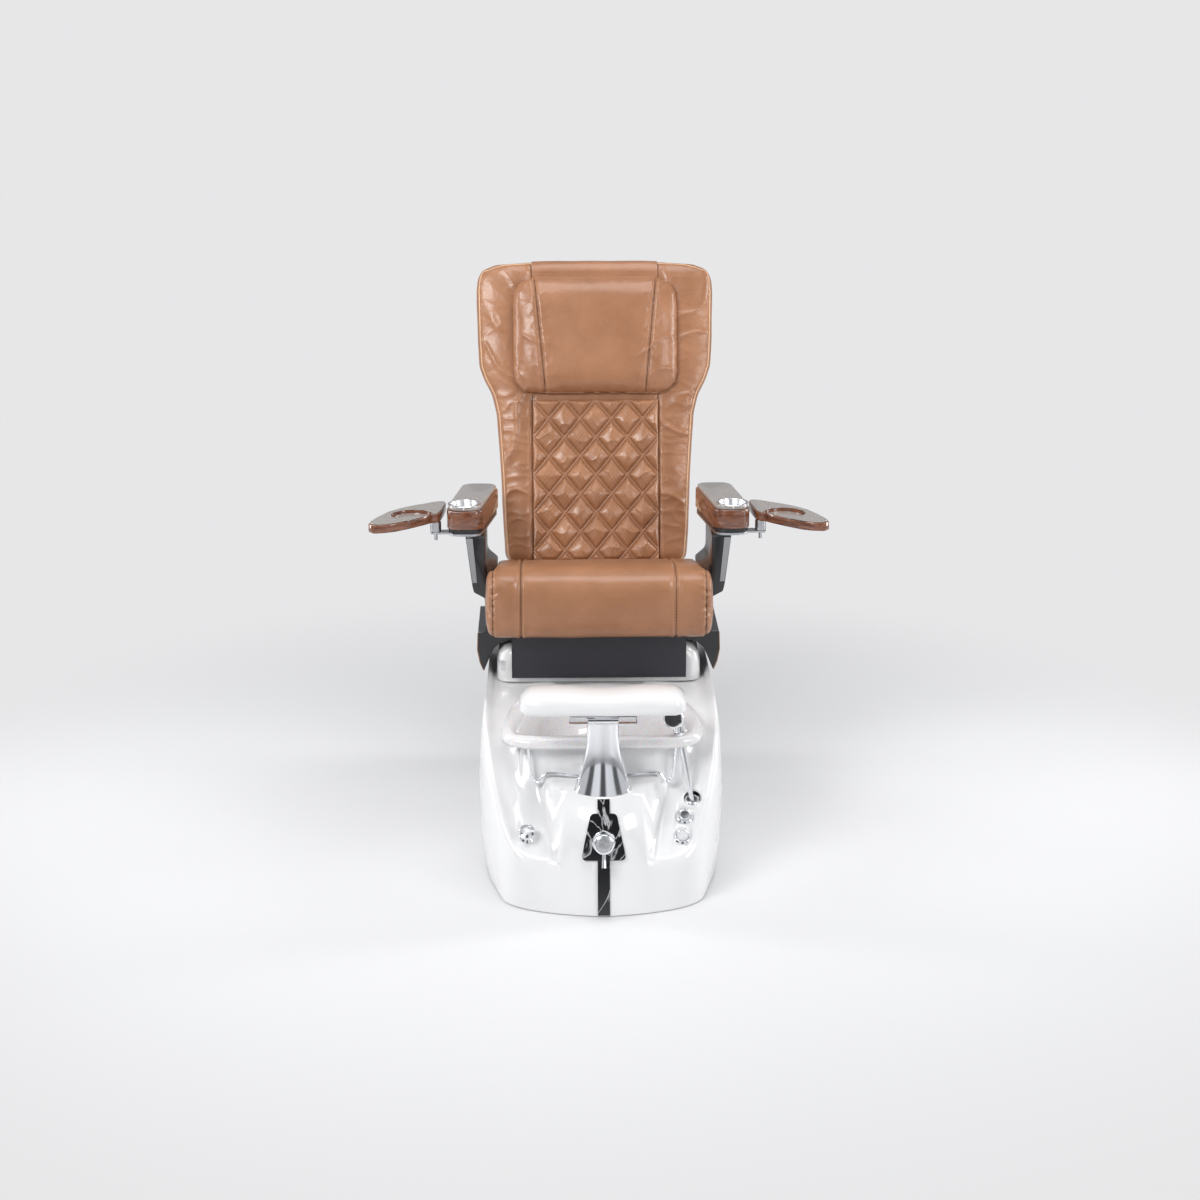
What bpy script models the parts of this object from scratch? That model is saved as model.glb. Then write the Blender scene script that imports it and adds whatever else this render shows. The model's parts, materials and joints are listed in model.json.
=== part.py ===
"""Pedicure spa chair: a gelcoat basin base that carries a sliding, reclining massage-style seat.

Metres, +Z up, +X to the chair's left-hand tray as seen from the front, -Y towards the toe.
The origin is on the floor, under the middle of the chair. Run it in Blender 4.5.
"""

import math

import bmesh
import bpy
from mathutils import Matrix, Vector
from mathutils.geometry import interpolate_bezier

# ---------------------------------------------------------------- driving dimensions

GAP = 0.0003            # between pieces that rest on each other
WALL = 0.005            # gelcoat laminate of the base and the bowl
DEG = math.pi / 180

BOWL_HALF = 0.262       # half width of the foot bowl over its rim

# base shell, half plan
TOE_Y = -0.640          # foremost point of the base, on the floor
BASE_REAR_Y = 0.480     # rear wall of the base
BASE_HALF = BOWL_HALF + 0.048   # half width of the base at its sides, on the floor
REAR_DRAW = 0.006       # draft of the rear wall between floor and shoulder
FOOT_LIFT = 0.002       # the shell's edge over the floor
BASE_BULGE = 0.016      # how far the sides swell between floor and ridge
APRON_Z = 0.130         # top of the plain front apron
SHOULDER_Z = 0.455      # top of the side shoulders behind the bowl
DECK_Z = 0.425          # deck behind the bowl, which the rear housing stands on

# console between the two foot wells of the front
CONSOLE_TOP_Z = 0.300
CONSOLE_TOP_Y = -0.580
CONSOLE_FOOT_Y = -0.613     # console face at the top of the apron
CONSOLE_HALF = BOWL_HALF - 0.169    # half width of the console deck at its front edge
CONSOLE_REAR_HALF = BOWL_HALF - 0.114   # half width of the console deck where it meets the bowl surround
CONSOLE_FOOT_HALF = BOWL_HALF - 0.154   # half width of the console face at the top of the apron
INLAY_LAND_HALF = 0.018     # flat land in the middle of the apron, which the inlay lies on

# side valleys of the front
VALLEY_SLOPE = 0.74         # rise of the valley floor towards the rear
VALLEY_Z = 0.170            # height of the valley floor at VALLEY_Y
VALLEY_Y = -0.540

# foot bowl
BOWL_FRONT_Y = -0.460   # front of the rim
BOWL_REAR_Y = -0.068    # rear of the rim
BOWL_WAIST_Y = -0.270   # middle of the bowl
LEDGE_Z = 0.385         # ledge of the surround that the front of the rim rests on
LEDGE_REAR_Z = 0.430    # the same ledge at the rear of the bowl
RIM_H = 0.027           # height of the rolled rim at the front
RIM_REAR_H = 0.008      # height of the rim at the rear, where it runs into the deck
RIM_W = 0.042           # width of the rolled rim
BOWL_FLOOR_Z = 0.160    # bottom of the bowl, inside

# ---------------------------------------------------------------- workshop helpers

for old in list(bpy.data.objects):
    bpy.data.objects.remove(old, do_unlink=True)

CHAIR = bpy.data.collections.new("pedicure_spa_chair")
CUTTERS = bpy.data.collections.new("cutters")
bpy.context.scene.collection.children.link(CHAIR)
bpy.context.scene.collection.children.link(CUTTERS)

SIDES = (("left", -1), ("right", 1))


def finish(name, colour, roughness, metallic=0.0):
    """A Principled material of one plain finish."""
    made = bpy.data.materials.new(name)
    made.use_nodes = True
    shader = made.node_tree.nodes["Principled BSDF"]
    shader.inputs["Base Color"].default_value = (*colour, 1)
    shader.inputs["Roughness"].default_value = roughness
    shader.inputs["Metallic"].default_value = metallic
    return made


def gelcoat(name):
    return finish(name + "_gelcoat", (0.86, 0.86, 0.85), 0.15)


def chrome(name):
    return finish(name + "_chrome", (0.80, 0.80, 0.82), 0.08, 1.0)


def steel(name):
    return finish(name + "_steel", (0.42, 0.43, 0.44), 0.45, 0.8)


def leather(name):
    return finish(name + "_leather", (0.47, 0.21, 0.08), 0.45)


def black_plastic(name):
    return finish(name + "_black", (0.02, 0.02, 0.022), 0.3)


def wood(name):
    return finish(name + "_wood", (0.26, 0.08, 0.03), 0.12)


def taupe(name):
    return finish(name + "_taupe", (0.46, 0.42, 0.39), 0.12)


def new_object(name, mesh, material=None, collection=CHAIR):
    made = bpy.data.objects.new(name, mesh)
    collection.objects.link(made)
    if material:
        mesh.materials.append(material)
    return made


def mesh_from(name, work):
    mesh = bpy.data.meshes.new(name)
    work.to_mesh(mesh)
    work.free()
    return mesh


def turn_to(direction, spin=0.0):
    """The rotation that brings +Z onto the direction, after a turn about +Z."""
    return Vector(direction).to_track_quat("Z", "Y").to_matrix().to_4x4() @ Matrix.Rotation(spin, 4, "Z")


def place(obj, at, direction=(0, 0, 1), spin=0.0):
    obj.matrix_world = Matrix.Translation(at) @ turn_to(direction, spin)
    return obj


def as_cutter(obj):
    for holder in list(obj.users_collection):
        holder.objects.unlink(obj)
    CUTTERS.objects.link(obj)
    obj.hide_render = True
    obj.display_type = "WIRE"
    return obj


def boolean(obj, other, operation="DIFFERENCE", solver="EXACT"):
    made = obj.modifiers.new(operation.lower() + "_" + other.name, "BOOLEAN")
    made.operation = operation
    made.object = other
    made.solver = solver
    as_cutter(other)
    return obj


def block(name, size, at, material=None, bevel=0.0, segments=2):
    """A box of full size, with rounded edges where a bevel is given."""
    work = bmesh.new()
    bmesh.ops.create_cube(work, size=1.0)
    bmesh.ops.scale(work, vec=size, verts=work.verts)
    made = new_object(name, mesh_from(name, work), material)
    made.location = at
    if bevel:
        soften(made, bevel, segments)
    return made


def soften(obj, width, segments=2, angle=30):
    made = obj.modifiers.new("rounding", "BEVEL")
    made.width = width
    made.segments = segments
    made.limit_method = "ANGLE"
    made.angle_limit = math.radians(angle)
    made.harden_normals = False
    return obj


def rod(name, radius, start, end, material=None, sides=16):
    """A straight round bar from start to end."""
    start = Vector(start)
    end = Vector(end)
    work = bmesh.new()
    bmesh.ops.create_cone(work, cap_ends=True, segments=sides, radius1=radius, radius2=radius,
                          depth=(end - start).length)
    made = new_object(name, mesh_from(name, work), material)
    return place(made, (start + end) / 2, end - start)


def turned(name, profile, at, direction=(0, 0, 1), material=None, steps=20):
    """A body of revolution: the profile runs down its outer side as (radius, height) pairs."""
    work = bmesh.new()
    verts = [work.verts.new((radius, 0, height)) for radius, height in profile]
    for one, two in zip(verts, verts[1:]):
        work.edges.new((one, two))
    made = new_object(name, mesh_from(name, work), material)
    screw = made.modifiers.new("turn", "SCREW")
    screw.steps = steps
    screw.render_steps = steps
    screw.use_merge_vertices = True
    screw.merge_threshold = 0.00001
    return place(made, at, direction)


def tube(name, points, radius, material=None, resolution=2, smooth=0, cyclic=False):
    """A bent round tube through the points, with filled ends."""
    route = smooth_route(points, smooth) if smooth else [Vector(p) for p in points]
    curve = bpy.data.curves.new(name, "CURVE")
    curve.dimensions = "3D"
    curve.bevel_depth = radius
    curve.bevel_resolution = resolution
    curve.use_fill_caps = not cyclic
    spline = curve.splines.new("POLY")
    spline.points.add(len(route) - 1)
    for point, at in zip(spline.points, route):
        point.co = (*at, 1)
    spline.use_cyclic_u = cyclic
    made = bpy.data.objects.new(name, curve)
    CHAIR.objects.link(made)
    if material:
        curve.materials.append(material)
    return made


def smooth_route(points, steps):
    """Points of a smooth curve through the given ones, steps to each stretch."""
    points = [Vector(p) for p in points]
    route = []
    for i in range(len(points) - 1):
        before = points[max(i - 1, 0)]
        one = points[i]
        two = points[i + 1]
        after = points[min(i + 2, len(points) - 1)]
        stretch = interpolate_bezier(one, one + (two - before) / 6, two - (after - one) / 6, two, steps + 1)
        route.extend(stretch[:-1])
    return route + [points[-1]]


def plain_mesh(obj):
    """The evaluated object as a mesh object of the same name and place, its seams welded."""
    name = obj.name
    mesh = bpy.data.meshes.new_from_object(obj.evaluated_get(bpy.context.evaluated_depsgraph_get()))
    work = bmesh.new()
    work.from_mesh(mesh)
    bmesh.ops.remove_doubles(work, verts=work.verts, dist=0.00001)
    bmesh.ops.recalc_face_normals(work, faces=work.faces)
    work.to_mesh(mesh)
    work.free()
    matrix = obj.matrix_world.copy()
    bpy.data.objects.remove(obj, do_unlink=True)
    made = bpy.data.objects.new(name, mesh)
    CHAIR.objects.link(made)
    made.matrix_world = matrix
    return made


def closed_outline(points, steps):
    """A smooth closed outline in its plane through the given points."""
    loop = [points[-1], *points, points[0], points[1]]
    route = smooth_route([(x, y, 0) for x, y in loop], steps)
    return [(p.x, p.y) for p in route[steps:-steps - 1]]


def rounded_outline(corners, radius, steps=4):
    """A polygon whose corners are round, each an arc that touches both of its sides."""
    outline = []
    count = len(corners)
    for i, corner in enumerate(corners):
        here = Vector(corner)
        towards = [Vector(corners[(i + turn) % count]) - here for turn in (-1, 1)]
        half = towards[0].angle(towards[1]) / 2
        reach = min(radius / math.tan(half), 0.48 * min(side.length for side in towards))
        ends = [here + side.normalized() * reach for side in towards]
        curve = interpolate_bezier(ends[0].to_3d(), (ends[0].lerp(here, 0.6)).to_3d(),
                                   (ends[1].lerp(here, 0.6)).to_3d(), ends[1].to_3d(), steps + 1)
        outline.extend((p.x, p.y) for p in curve)
    return outline


def plate(name, outline, thickness, material=None):
    """A flat plate in its own XY plane, its mid-thickness at z 0, cut to a closed outline."""
    curve = bpy.data.curves.new(name, "CURVE")
    curve.dimensions = "2D"
    curve.fill_mode = "BOTH"
    curve.extrude = thickness / 2
    spline = curve.splines.new("POLY")
    spline.points.add(len(outline) - 1)
    for point, at in zip(spline.points, outline):
        point.co = (at[0], at[1], 0, 1)
    spline.use_cyclic_u = True
    flat = bpy.data.objects.new(name, curve)
    CHAIR.objects.link(flat)
    bpy.context.view_layer.update()
    made = plain_mesh(flat)
    if material:
        made.data.materials.append(material)
    return made


def loft(name, rings, material=None, closed=True, caps=True, mirror=False):
    """A skin over rings of equally many points; caps close the first and the last ring."""
    work = bmesh.new()
    grid = [[work.verts.new(p) for p in ring] for ring in rings]
    for one, two in zip(grid, grid[1:]):
        count = len(one)
        for i in range(count if closed else count - 1):
            j = (i + 1) % count
            work.faces.new((one[i], one[j], two[j], two[i]))
    if caps:
        work.faces.new(reversed(grid[0]))
        work.faces.new(grid[-1])
    bmesh.ops.recalc_face_normals(work, faces=work.faces)
    made = new_object(name, mesh_from(name, work), material)
    if mirror:
        halves = made.modifiers.new("halves", "MIRROR")
        halves.merge_threshold = 0.00005
    return made


def thicken(obj, wall, offset=-1.0):
    made = obj.modifiers.new("wall", "SOLIDIFY")
    made.thickness = wall
    made.offset = offset
    made.use_even_offset = True
    made.use_quality_normals = True
    return obj


def mixed(one, two, share):
    return Vector(one).lerp(Vector(two), share)

# ---------------------------------------------------------------- base shell


def valley_z(y):
    return VALLEY_Z + VALLEY_SLOPE * (y - VALLEY_Y)


def clamped(share):
    return min(1.0, max(0.0, share))


def ledge_z(y):
    """Height of the ledge under the bowl's rim, which rises towards the rear."""
    share = (y - BOWL_FRONT_Y) / (BOWL_REAR_Y - BOWL_FRONT_Y)
    return LEDGE_Z + (LEDGE_REAR_Z - LEDGE_Z) * clamped(share)


def base_lines():
    """The feature lines of half the shell, each from the middle of the toe round to the middle of
    the rear: the foot on the floor, the ridge, the brow inside the ridge, and the foot of the
    bowl surround. Points of one number lie on one rib of the shell."""
    side = BASE_HALF
    rear = BASE_REAR_Y
    low = FOOT_LIFT
    foot = [
        (0, TOE_Y, low), (0.113, TOE_Y + 0.017, low), (0.128, TOE_Y + 0.021, low),
        (0.175, TOE_Y + 0.037, low),
        (0.218, TOE_Y + 0.060, low), (side - 0.054, TOE_Y + 0.102, low), (side - 0.030, -0.450, low),
        (side - 0.010, -0.360, low), (side - 0.002, -0.250, low), (side, -0.100, low), (side, 0.120, low),
        (side - 0.004, rear - 0.110, low), (side - 0.050, rear - 0.022, low), (0.150, rear, low),
        (0, rear, low),
    ]
    apron = APRON_Z
    ridge = [
        (0, CONSOLE_FOOT_Y, apron), (CONSOLE_FOOT_HALF, CONSOLE_FOOT_Y, apron),
        (CONSOLE_FOOT_HALF + 0.016, CONSOLE_FOOT_Y + 0.011, apron),
        (0.172, CONSOLE_FOOT_Y + 0.015, apron + 0.002),
        (0.220, CONSOLE_FOOT_Y + 0.028, apron + 0.016), (side - 0.056, -0.530, 0.205),
        (side - 0.026, -0.440, 0.300), (side - 0.009, -0.350, 0.372), (side, -0.250, 0.418),
        (side - 0.006, -0.100, SHOULDER_Z - 0.003), (side - 0.008, 0.120, SHOULDER_Z),
        (side - 0.012, rear - 0.110, SHOULDER_Z), (side - 0.056, rear - 0.028, SHOULDER_Z),
        (0.150, rear - REAR_DRAW, SHOULDER_Z), (0, rear - REAR_DRAW, SHOULDER_Z),
    ]
    top = CONSOLE_TOP_Z
    brow = [
        (0, CONSOLE_TOP_Y, top), (CONSOLE_HALF, CONSOLE_TOP_Y, top),
        (CONSOLE_FOOT_HALF + 0.012, -0.572, valley_z(-0.572)), (0.172, -0.570, valley_z(-0.570)),
        (side - 0.102, -0.552, valley_z(-0.548)), (side - 0.074, -0.508, valley_z(-0.506)),
        (side - 0.048, -0.430, 0.276), (side - 0.028, -0.345, 0.358), (side - 0.018, -0.248, 0.404),
        (side - 0.020, -0.100, DECK_Z), (side - 0.020, 0.110, DECK_Z), (side - 0.022, rear - 0.115, DECK_Z),
        (side - 0.066, rear - 0.042, DECK_Z), (0.150, rear - 0.022, DECK_Z), (0, rear - 0.022, DECK_Z),
    ]
    neck = [(0, -0.428), (CONSOLE_REAR_HALF, -0.424)]
    neck += [(share * BOWL_HALF, y) for share, y in (
        (0.626, -0.423), (0.718, -0.418), (0.790, -0.408), (0.851, -0.392), (0.885, -0.366),
        (0.901, -0.325), (0.870, -0.250), (0.786, -0.185), (0.649, -0.145), (0.496, -0.114),
        (0.351, -0.099), (0.191, -0.092))]
    neck.append((0, -0.090))
    rise = (top, top, 0.262, 0.268, 0.280, 0.298, 0.325, 0.356, 0.380, 0.405, 0.418)
    surround = [(x, y, z) for (x, y), z in zip(neck, rise)]
    surround += [(x, y, min(DECK_Z, ledge_z(y) - 0.0005)) for x, y in neck[len(rise):]]
    return foot, ridge, brow, surround


def ribs_of(line):
    """One feature line: a flat land in the middle of the toe, the straight side of the console, and
    the rest faired."""
    middle, edge = Vector(line[0]), Vector(line[1])
    land = Vector((INLAY_LAND_HALF, middle.y, middle.z))
    shoulder = Vector((edge.x * 0.6, mixed(middle, edge, 0.36).y, mixed(middle, edge, 0.6).z))
    return [middle, land, shoulder, edge] + smooth_route(line[2:-1], 2) + [Vector(line[-1])]


def swell(one, two, share, amount):
    """A point between two rib points, pushed outwards in plan where the sides are."""
    here = mixed(one, two, share)
    outwards = Vector((here.x, here.y - BOWL_WAIST_Y, 0)).normalized()
    fade = clamped((here.y - TOE_Y - 0.040) / 0.200) * clamped((BASE_REAR_Y - 0.050 - here.y) / 0.150)
    return here + outwards * amount * fade * clamped(here.x / 0.2) * 4 * share * (1 - share)


foot_line, ridge_line, brow_line, surround_line = (ribs_of(line) for line in base_lines())
NECK_DRAFT = 0.003      # draft of the bowl surround between its foot and its top
LEDGE_W = 0.010         # width of the ledge that the rim rests on


def towards_bowl(point, distance):
    """A point of the surround's foot moved towards the middle of the bowl, at the ledge's height."""
    inwards = Vector((-point.x, BOWL_WAIST_Y - point.y, 0)).normalized()
    moved = point + inwards * distance
    return Vector((moved.x if point.x > 0 else 0, moved.y, max(ledge_z(point.y), point.z + GAP)))


shell_rows = [foot_line]
for share in (0.30, 0.60, 0.85):
    shell_rows.append([swell(f, r, share, BASE_BULGE) for f, r in zip(foot_line, ridge_line)])
shell_rows.append(ridge_line)
shell_rows.append([mixed(r, b, 0.45) + Vector((0, 0, 0.004 if r.x > CONSOLE_FOOT_HALF + 0.01 else 0))
                   for r, b in zip(ridge_line, brow_line)])
shell_rows.append(brow_line)
for share in (0.34, 0.67):
    shell_rows.append([mixed(b, s, share) for b, s in zip(brow_line, surround_line)])
shell_rows.append(surround_line)
for draw in (NECK_DRAFT, NECK_DRAFT + LEDGE_W):
    shell_rows.append([towards_bowl(s, draw) for s in surround_line])

base_shell = loft("base_shell", shell_rows, gelcoat("base_shell"), closed=False, caps=False, mirror=True)
thicken(base_shell, WALL)


# ---------------------------------------------------------------- foot bowl


def rim_outline():
    """The outer edge of the rim in plan, anticlockwise from the middle of the front."""
    half = [(0, BOWL_FRONT_Y)]
    half += [(share * BOWL_HALF, y) for share, y in (
        (0.496, BOWL_FRONT_Y), (0.763, BOWL_FRONT_Y + 0.005), (0.927, BOWL_FRONT_Y + 0.025),
        (0.996, -0.398), (1, -0.345), (0.962, -0.280), (0.885, -0.205), (0.756, -0.145),
        (0.565, -0.098), (0.305, BOWL_REAR_Y - 0.006))]
    half.append((0, BOWL_REAR_Y))
    return closed_outline(half + [(-x, y) for x, y in reversed(half[1:-1])], 2)


def inset(outline, distance):
    """A closed anticlockwise outline moved inwards by a distance, measured square to it."""
    moved = []
    for i, here in enumerate(outline):
        before, after = Vector(outline[i - 1]), Vector(outline[(i + 1) % len(outline)])
        along = (after - before).normalized()
        moved.append((here[0] - along.y * distance, here[1] + along.x * distance))
    return moved


def bowl_ring(outline, distance, height):
    """One ring of the bowl; height is a number or a function of y. Past the wall's own depth the
    outline shrinks towards the middle of the bowl, which keeps its corners round."""
    wall = min(distance, RIM_W + 0.010)
    shrink = 1 - (distance - wall) / 0.190
    return [(x * shrink, BOWL_WAIST_Y + (y - BOWL_WAIST_Y) * shrink,
             height(y) if callable(height) else height)
            for x, y in inset(outline, wall)]


def rim_height(y):
    share = (y - BOWL_FRONT_Y) / (BOWL_REAR_Y - BOWL_FRONT_Y)
    return RIM_H + (RIM_REAR_H - RIM_H) * clamped(share)


def rim_z(share, drop=0.0):
    """Height over the ledge as a share of the rim's height."""
    return lambda y: ledge_z(y) + GAP + rim_height(y) * share - drop


BOWL_WALL = 0.004
BOWL_CLEARANCE = 0.0015     # between the bowl and the opening it drops into


def bowl_underside(outline, spare, drop=0.0):
    """The rings of the bowl's outside from its floor up to the rolled edge of the rim."""
    return [
        bowl_ring(outline, 0.160, floor_z - BOWL_WALL - spare),
        bowl_ring(outline, 0.112 - spare, floor_z + 0.003 - BOWL_WALL - spare),
        bowl_ring(outline, 0.080 - spare, floor_z + 0.024 - spare),
        bowl_ring(outline, 0.058 - spare, floor_z + 0.090),
        bowl_ring(outline, RIM_W + 0.006 - spare, 0.355),
        bowl_ring(outline, RIM_W + 0.004 - spare, rim_z(0, drop)),
        bowl_ring(outline, 0.003 - spare, rim_z(0, drop)),
        bowl_ring(outline, -spare, rim_z(0.35, drop)),
    ]


outline = rim_outline()
floor_z = BOWL_FLOOR_Z
bowl_rings = bowl_underside(outline, 0) + [
    bowl_ring(outline, 0.004, rim_z(0.80)),
    bowl_ring(outline, 0.014, rim_z(1)),
    bowl_ring(outline, RIM_W - 0.014, rim_z(1)),
    bowl_ring(outline, RIM_W - 0.002, rim_z(0.80)),
    bowl_ring(outline, RIM_W + 0.008, rim_z(0.0)),
    bowl_ring(outline, RIM_W + 0.010, 0.355),
    bowl_ring(outline, 0.062, floor_z + 0.090),
    bowl_ring(outline, 0.084, floor_z + 0.026),
    bowl_ring(outline, 0.114, floor_z + 0.003),
    bowl_ring(outline, 0.160, floor_z),
]
bowl = loft("bowl", bowl_rings, gelcoat("bowl"))

bowl_space = loft("bowl_space", bowl_underside(outline, BOWL_CLEARANCE, GAP)
                  + [bowl_ring(outline, -BOWL_CLEARANCE, SHOULDER_Z + 0.05)])
boolean(base_shell, bowl_space)

# ---------------------------------------------------------------- rear housing and its slide rails

HOUSING_HALF = BASE_HALF - 0.030    # half width of the housing's lower part
HOUSING_FRONT_Y = -0.030
HOUSING_REAR_Y = 0.400
HOUSING_TOP_Z = 0.528
HOUSING_WALL = 0.004
RAIL_X = 0.160              # slide rails, either side of the middle
RAIL_H = 0.014
RAIL_FRONT_Y = -0.024
RAIL_REAR_Y = 0.390


def box_ring(half, front, rear, radius, z, steps=4):
    """A rectangle with round corners, seen from above, at a height."""
    corners = [(-half, front), (half, front), (half, rear), (-half, rear)]
    return [(x, y, z) for x, y in rounded_outline(corners, radius, steps)]


housing_z = DECK_Z + 2 * GAP
housing_steps = ((0, 0), (0.045, 0.001), (0.075, 0.006), (0.092, 0.022), (HOUSING_TOP_Z - housing_z, 0.050))


def housing_ring(rise, draw, wall=0.0):
    return box_ring(HOUSING_HALF - draw - wall, HOUSING_FRONT_Y + draw * 0.3 + wall,
                    HOUSING_REAR_Y - draw * 0.6 - wall, 0.040, housing_z + max(0, rise - wall))


housing_rings = [housing_ring(rise, draw) for rise, draw in reversed(housing_steps)]
housing_rings += [housing_ring(rise, draw, HOUSING_WALL) for rise, draw in housing_steps]
rear_housing = loft("rear_housing", housing_rings, gelcoat("rear_housing"))

rail_z = HOUSING_TOP_Z + GAP + RAIL_H / 2
rail_size = (0.030, RAIL_REAR_Y - RAIL_FRONT_Y, RAIL_H)
rail_mid_y = (RAIL_REAR_Y + RAIL_FRONT_Y) / 2
slide_rails = block("slide_rails", rail_size, (RAIL_X, rail_mid_y, rail_z), steel("slide_rails"))
boolean(slide_rails, block("rail_left", rail_size, (-RAIL_X, rail_mid_y, rail_z)), "UNION")
for end, y in (("front", RAIL_FRONT_Y + 0.060), ("rear", RAIL_REAR_Y - 0.060)):
    boolean(slide_rails, block("rail_tie_" + end, (2 * RAIL_X, 0.040, 0.006),
                               (0, y, HOUSING_TOP_Z + GAP + 0.003)),
            "UNION")
for side, sign in SIDES:
    boolean(slide_rails, block("rail_groove_" + side, (0.016, 1, 0.010),
                               (sign * RAIL_X, 0.1, rail_z + 0.004)))

# ---------------------------------------------------------------- steel chassis inside the base

TUBE = 0.030                # square tube of the chassis
FOOT_H = 0.012
FRAME_HALF = 0.225
FRAME_FRONT_Y = -0.420
FRAME_REAR_Y = 0.400
FRAME_Z = FOOT_H + TUBE / 2
POST_Y = (0.020, 0.370)     # posts that carry the deck under the slide rails

frame_depth = FRAME_REAR_Y - FRAME_FRONT_Y
frame_mid_y = (FRAME_REAR_Y + FRAME_FRONT_Y) / 2
base_frame = block("base_frame", (TUBE, frame_depth, TUBE), (FRAME_HALF, frame_mid_y, FRAME_Z),
                   steel("base_frame"))
boolean(base_frame, block("frame_left", (TUBE, frame_depth, TUBE), (-FRAME_HALF, frame_mid_y, FRAME_Z)),
        "UNION")
for number, y in enumerate((FRAME_FRONT_Y, -0.060, POST_Y[0], POST_Y[1])):
    boolean(base_frame, block(f"frame_cross_{number}", (2 * FRAME_HALF, TUBE, TUBE - 0.001),
                              (0, y, FRAME_Z)), "UNION")
post_h = DECK_Z - WALL - 0.0035 - FOOT_H
for number, y in enumerate(POST_Y):
    for side, sign in SIDES:
        boolean(base_frame, block(f"post_{side}_{number}", (TUBE - 0.002, TUBE - 0.002, post_h),
                                  (sign * RAIL_X, y, FOOT_H + 0.002 + post_h / 2)), "UNION")
for y in (FRAME_FRONT_Y + 0.03, FRAME_REAR_Y - 0.06):
    for side, sign in SIDES:
        boolean(base_frame, rod(f"foot_{side}_{y:.2f}", 0.022, (sign * FRAME_HALF, y, 0),
                                (sign * FRAME_HALF, y, FOOT_H + 0.003), sides=20), "UNION")

# ---------------------------------------------------------------- rear access cover

COVER_HALF = 0.180
COVER_H = 0.260
COVER_Z = 0.215
COVER_T = 0.003

rear_slope = Vector((0, REAR_DRAW, -SHOULDER_Z)).to_track_quat("-Z", "Y").to_matrix().to_4x4()
cover_y = BASE_REAR_Y - REAR_DRAW * COVER_Z / SHOULDER_Z
boolean(base_shell, block("cover_opening", (2 * COVER_HALF - 0.030, 0.060, COVER_H - 0.030),
                          (0, cover_y, COVER_Z)))
rear_access_cover = block("rear_access_cover", (2 * COVER_HALF, COVER_T, COVER_H), (0, 0, 0),
                          gelcoat("rear_access_cover"), 0.001, 1)
rear_access_cover.matrix_world = Matrix.Translation((0, cover_y + COVER_T / 2 + 2 * GAP,
                                                     COVER_Z)) @ rear_slope

# ---------------------------------------------------------------- console front: inlay and mixer


def on_console(across, up, lift=0.0):
    """A point on the sloping console face: across, up the slope from the apron, and proud of it."""
    foot = Vector((0, CONSOLE_FOOT_Y, APRON_Z))
    slope = (Vector((0, CONSOLE_TOP_Y, CONSOLE_TOP_Z)) - foot).normalized()
    outwards = Vector((1, 0, 0)).cross(slope)
    return foot + Vector((across, 0, 0)) + slope * up + outwards * lift


def face_matrix(foot, top, lift):
    """A frame on a sloping face: X across, Y up the slope, Z outwards, its origin at the foot."""
    slope = (Vector(top) - Vector(foot)).normalized()
    outwards = Vector((1, 0, 0)).cross(slope)
    turn = Matrix((Vector((1, 0, 0)), slope, outwards)).transposed().to_4x4()
    return Matrix.Translation(Vector(foot) + outwards * lift) @ turn


INLAY_HALF = 0.0155         # half width of the inlay strip
INLAY_T = 0.004
SHIELD_LOW = 0.013          # escutcheon's lower edge, up the slope from the apron
SHIELD_HIGH = 0.134         # its upper edge
SHIELD_LOW_HALF = 0.058
SHIELD_HIGH_HALF = 0.033
SHIELD_RADIUS = 0.012
MIXER_UP = 0.061            # mixer axis, up the slope from the apron
MIXER_HALF = 0.031          # radius of the mixer's trim ring
SEAL = 0.0006               # bed of sealant under the inlay

console_foot = (0, CONSOLE_FOOT_Y, APRON_Z)
console_top = (0, CONSOLE_TOP_Y, CONSOLE_TOP_Z)
face_length = (Vector(console_top) - Vector(console_foot)).length
marble_inlay = plate("marble_inlay", [(-INLAY_HALF, -0.0010), (INLAY_HALF, -0.0010),
                                      (INLAY_HALF, face_length - 0.002),
                                      (-INLAY_HALF, face_length - 0.002)], INLAY_T,
                     finish("marble_inlay_stone", (0.02, 0.02, 0.02), 0.1))
marble_inlay.matrix_world = face_matrix(console_foot, console_top, SEAL + INLAY_T / 2)
shield_corners = [(-SHIELD_LOW_HALF, SHIELD_LOW), (SHIELD_LOW_HALF, SHIELD_LOW),
                  (SHIELD_HIGH_HALF, SHIELD_HIGH), (-SHIELD_HIGH_HALF, SHIELD_HIGH)]
shield = plate("inlay_shield", rounded_outline(shield_corners, SHIELD_RADIUS), INLAY_T + 0.001)
shield.matrix_world = face_matrix(console_foot, console_top, SEAL + (INLAY_T + 0.001) / 2)
boolean(marble_inlay, shield, "UNION")
toe = (0, TOE_Y, 0)
apron_length = (Vector(console_foot) - Vector(toe)).length
apron_strip = plate("inlay_apron", [(-INLAY_HALF, 0.004), (INLAY_HALF, 0.004),
                                    (INLAY_HALF, apron_length + 0.001),
                                    (-INLAY_HALF, apron_length + 0.001)], INLAY_T)
apron_strip.matrix_world = face_matrix(toe, console_foot, SEAL + INLAY_T / 2)
boolean(marble_inlay, apron_strip, "UNION")

mixer_axis = on_console(0, 0, 1) - on_console(0, 0, 0)
mixer_base = SEAL + INLAY_T + 0.001 + GAP
mixer_trim = turned("mixer_trim", [(0, 0.006), (0.024, 0.006), (0.029, 0.004), (MIXER_HALF, 0), (0, 0)],
                    on_console(0, MIXER_UP, mixer_base), mixer_axis, chrome("mixer_trim"))

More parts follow.
